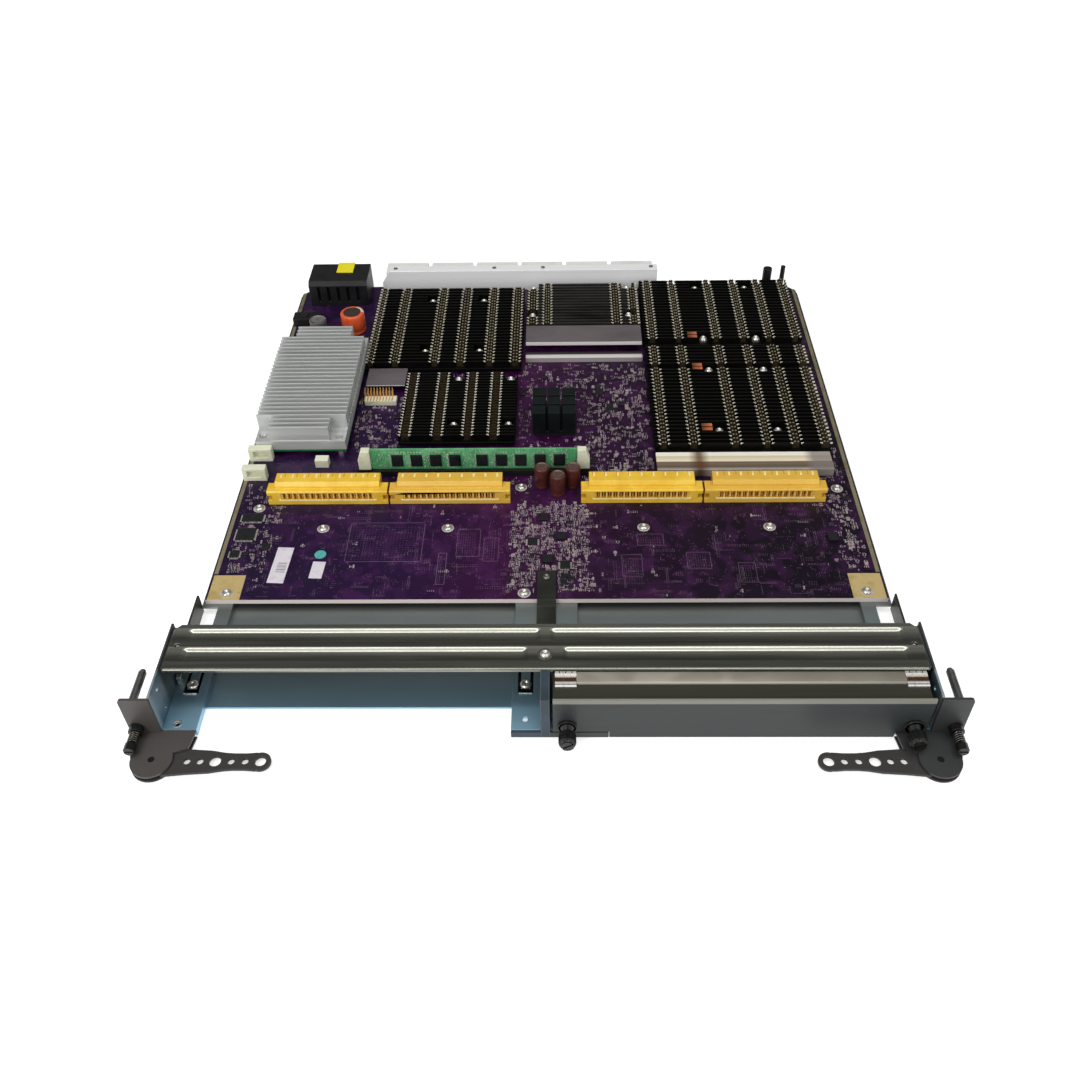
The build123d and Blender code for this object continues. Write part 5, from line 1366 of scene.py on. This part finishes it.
def scatterMarks(v):
    # printed frames, dots and short lines, without letters
    rng = random.Random(v["seed"] + 1)
    marks = []

    def mark(x, y, wide, deep):
        if isFree(x, y):
            marks.append(((x, y, 7.985), (wide, deep, 0.03)))

    def frameOf(x, y, wide, deep, line=0.16):
        for dy in (-deep / 2, deep / 2):
            mark(x, y + dy, wide, line)
        for dx in (-wide / 2, wide / 2):
            mark(x + dx, y, line, deep)

    def dotsOf(x, y, wide, deep, pitch, size=0.3):
        for i in range(int(wide / pitch)):
            for j in range(int(deep / pitch)):
                mark(x - wide / 2 + i * pitch, y - deep / 2 + j * pitch, size, size)

    frameOf(-98.0, 139.0, 46.0, 34.0, 0.2)
    dotsOf(-98.0, 139.0, 42.0, 30.0, 2.0, 0.28)
    for x, y, wide, deep in ((-47.0, 138.0, 14.0, 24.0), (-33.0, 132.0, 9.0, 20.0),
                             (52.0, 118.0, 12.0, 18.0), (92.0, 122.0, 14.0, 14.0),
                             (120.0, 112.0, 10.0, 16.0), (64.0, 140.0, 16.0, 10.0)):
        frameOf(x, y, wide, deep)
        dotsOf(x, y, wide - 2, deep - 2, 1.4)
    frameOf(-62.0, 116.0, 5.0, 26.0, 0.2)
    dotsOf(-62.0, 116.0, 3.0, 24.0, 1.1)
    for _ in range(v["groups"]):
        x, y = rng.uniform(-190, 190), rng.uniform(93, 172)
        pitch = rng.choice((0.9, 1.1, 1.4))
        rows, columns = rng.choice(((1, 8), (2, 6), (8, 1), (6, 2), (3, 4), (2, 12), (12, 2)))
        for i in range(columns):
            for j in range(rows):
                mark(x + i * pitch, y + j * pitch, 0.32, 0.32)
    for _ in range(v["lines"]):
        x, y = rng.uniform(-190, 190), rng.uniform(93, 330)
        along = rng.random() < 0.5
        long = rng.uniform(0.8, 3.0)
        mark(x, y, long if along else 0.15, 0.15 if along else long)
    return marks


print("board details")
parts, chips = scatterParts(boardValues)
spread("board_small_parts", shapes["part"], smallPart, parts)
spread("board_small_chips", shapes["block"], chipBlack, chips)
spread("board_marks", shapes["mark"], silkPaint, scatterMarks(boardValues))
strips = [((side * 196.2, 270, boardTop), (2.4, 316.0, 0.06)) for side in (-1, 1)]
pads = [((side * 187.5, 101.0, boardTop), (19.0, 20.0, 0.06)) for side in (-1, 1)]
spread("board_edge_strips", shapes["mark"], edgeStrip, strips)
spread("board_corner_pads", shapes["mark"], goldPad, pads)
labelTall = 0.12
labels = [((-159.0, 119.5, boardTop), (10.0, 30.0, labelTall), (0, 0, -3)),
          ((-136.2, 115.2, boardTop), (7.8, 14.0, labelTall), (0, 0, -3))]
spread("blank_labels", shapes["mark"], paperLabel, labels)
barDeep = (0.4, 0.2, 0.5, 0.2, 0.3, 0.5, 0.2, 0.4, 0.2)
bars = [((-158.0 + 0.052 * (step - 6), 113.5 + step, boardTop + labelTall), (5.6, deep, 0.02),
         (0, 0, -3)) for step, deep in enumerate(barDeep)]
spread("label_bars", shapes["mark"], printGrey, bars)
leadPitch = 0.9
leads = []
for x, y, wide, deep, leaded in flatChips:
    if not leaded:
        continue
    for step in range(int(wide / leadPitch)):
        px = x - wide / 2 + 0.6 + step * leadPitch
        leads += [((px, y + side * (deep / 2 + 0.5), boardTop), (0.4, 1.2, 0.5)) for side in (-1, 1)]
    for step in range(int(deep / leadPitch)):
        py = y - deep / 2 + 0.6 + step * leadPitch
        leads += [((x + side * (wide / 2 + 0.5), py, boardTop), (1.2, 0.4, 0.5)) for side in (-1, 1)]
spread("chip_leads", shapes["block"], padTin, leads)
pins = []
for step in range(10):
    px = -128.4 + step * 2.15
    pins += [((px, 285.3, boardTop), (0.7, 0.7, 9.5)), ((px, 282.6, 11.8), (0.7, 0.7, 5.0)),
             ((px, 279.4, 11.8), (0.8, 4.6, 0.6))]
spread("header_pins", shapes["block"], contactGold, pins)
spread("inspection_dot", shapes["disc"], tealDot, [((-136.4, 128.3, boardTop), (7.2, 7.2, 0.12))])

for shape in shapes.values():
    bpy.data.objects.remove(shape)

# floor, light and camera
print("studio")


# light from the sky by its height: white at the horizon, dark above it, bright overhead
skyLevels = ((0.0, 1.0), (0.2, 0.85), (0.42, 0.4), (0.6, 0.25), (0.78, 0.3), (0.92, 0.8), (1.0, 1.1))


def makeStudio():
    bm = bmesh.new()
    bmesh.ops.create_circle(bm, cap_ends=True, segments=96, radius=6.0,
                            matrix=Matrix.Translation((0, 0, -0.0004)))
    floor = linkMesh("studioFloor", bm)
    material = bpy.data.materials.new("paleFloor")
    material.use_nodes = True
    tree = material.node_tree
    tree.nodes.clear()
    plain = put(tree, "ShaderNodeBsdfDiffuse", {"Color": (0.86, 0.86, 0.86, 1)})
    glow = put(tree, "ShaderNodeEmission", {"Color": (1, 1, 1, 1), "Strength": 0.55})
    path = put(tree, "ShaderNodeLightPath")
    seen = maths(tree, "MAXIMUM", path.outputs["Is Camera Ray"], maths(
        tree, "MAXIMUM", path.outputs["Is Glossy Ray"], path.outputs["Is Transmission Ray"]))
    none = put(tree, "ShaderNodeEmission", {"Color": (0, 0, 0, 1), "Strength": 0.0})
    lit = put(tree, "ShaderNodeMixShader", {0: seen, 1: none.outputs[0], 2: glow.outputs[0]})
    both = put(tree, "ShaderNodeAddShader", {0: plain.outputs[0], 1: lit.outputs[0]})
    put(tree, "ShaderNodeOutputMaterial", {"Surface": both.outputs[0]})
    floor.data.materials.append(material)
    world = bpy.data.worlds.new("studio")
    scene.world = world
    world.use_nodes = True
    tree = world.node_tree
    tree.nodes.clear()
    way = axes(tree, put(tree, "ShaderNodeTexCoord").outputs["Generated"])
    shade = ramp(tree, way["Z"], [(at, (level, level, level, 1)) for at, level in skyLevels])
    behind = times(tree, remap(tree, way["Y"], 0.0, 0.5, 0.0, 0.8), remap(tree, way["Z"], 0.95, 0.8))
    shade = mixColours(tree, behind, shade, (0.1, 0.1, 0.1, 1))
    sky = put(tree, "ShaderNodeBackground", {"Color": shade, "Strength": 1.0})
    put(tree, "ShaderNodeOutputWorld", {"Surface": sky.outputs[0]})


def addLamp(name, spot, aim, size, power, shade=(1, 1, 1)):
    data = bpy.data.lights.new(name, "AREA")
    data.shape = "RECTANGLE"
    data.size, data.size_y = size
    data.energy = power
    data.color = shade
    lamp = bpy.data.objects.new(name, data)
    scene.collection.objects.link(lamp)
    lamp.location = spot
    lamp.rotation_euler = (Vector(aim) - Vector(spot)).to_track_quat("-Z", "Y").to_euler()


makeStudio()
addLamp("keyLamp", (-0.8, -1.2, 1.15), (0, 0, 0), (1.0, 0.8), 12.0)
addLamp("fillLamp", (0.9, -1.0, 0.9), (0, 0, 0), (0.9, 0.7), 4.0)
addLamp("stripLamp", (0.0, -0.1, 1.2), (0, -0.1, 0), (1.8, 0.22), 3.4)

cameraValues = {"spot": (0.009774, -0.538071, 0.462187), "yaw": -1.598, "down": 44.101, "roll": -1.352,
                "lens": 35.5527}


def makeCamera(v):
    data = bpy.data.cameras.new("photoView")
    data.sensor_width = 36.0
    data.lens = v["lens"]
    data.clip_start, data.clip_end = 0.01, 30.0
    camera = bpy.data.objects.new("photoView", data)
    scene.collection.objects.link(camera)
    yaw, down, roll = (math.radians(v[key]) for key in ("yaw", "down", "roll"))
    ahead = Vector((math.sin(yaw) * math.cos(down), math.cos(yaw) * math.cos(down), -math.sin(down)))
    right = Vector((math.cos(yaw), -math.sin(yaw), 0))
    up = right.cross(ahead)
    turnedRight = right * math.cos(roll) + up * math.sin(roll)
    turnedUp = up * math.cos(roll) - right * math.sin(roll)
    matrix = Matrix((turnedRight, turnedUp, -ahead)).transposed().to_4x4()
    matrix.translation = Vector(v["spot"])
    camera.matrix_world = matrix
    scene.camera = camera


makeCamera(cameraValues)
scene.view_settings.view_transform = "Standard"

print("done")
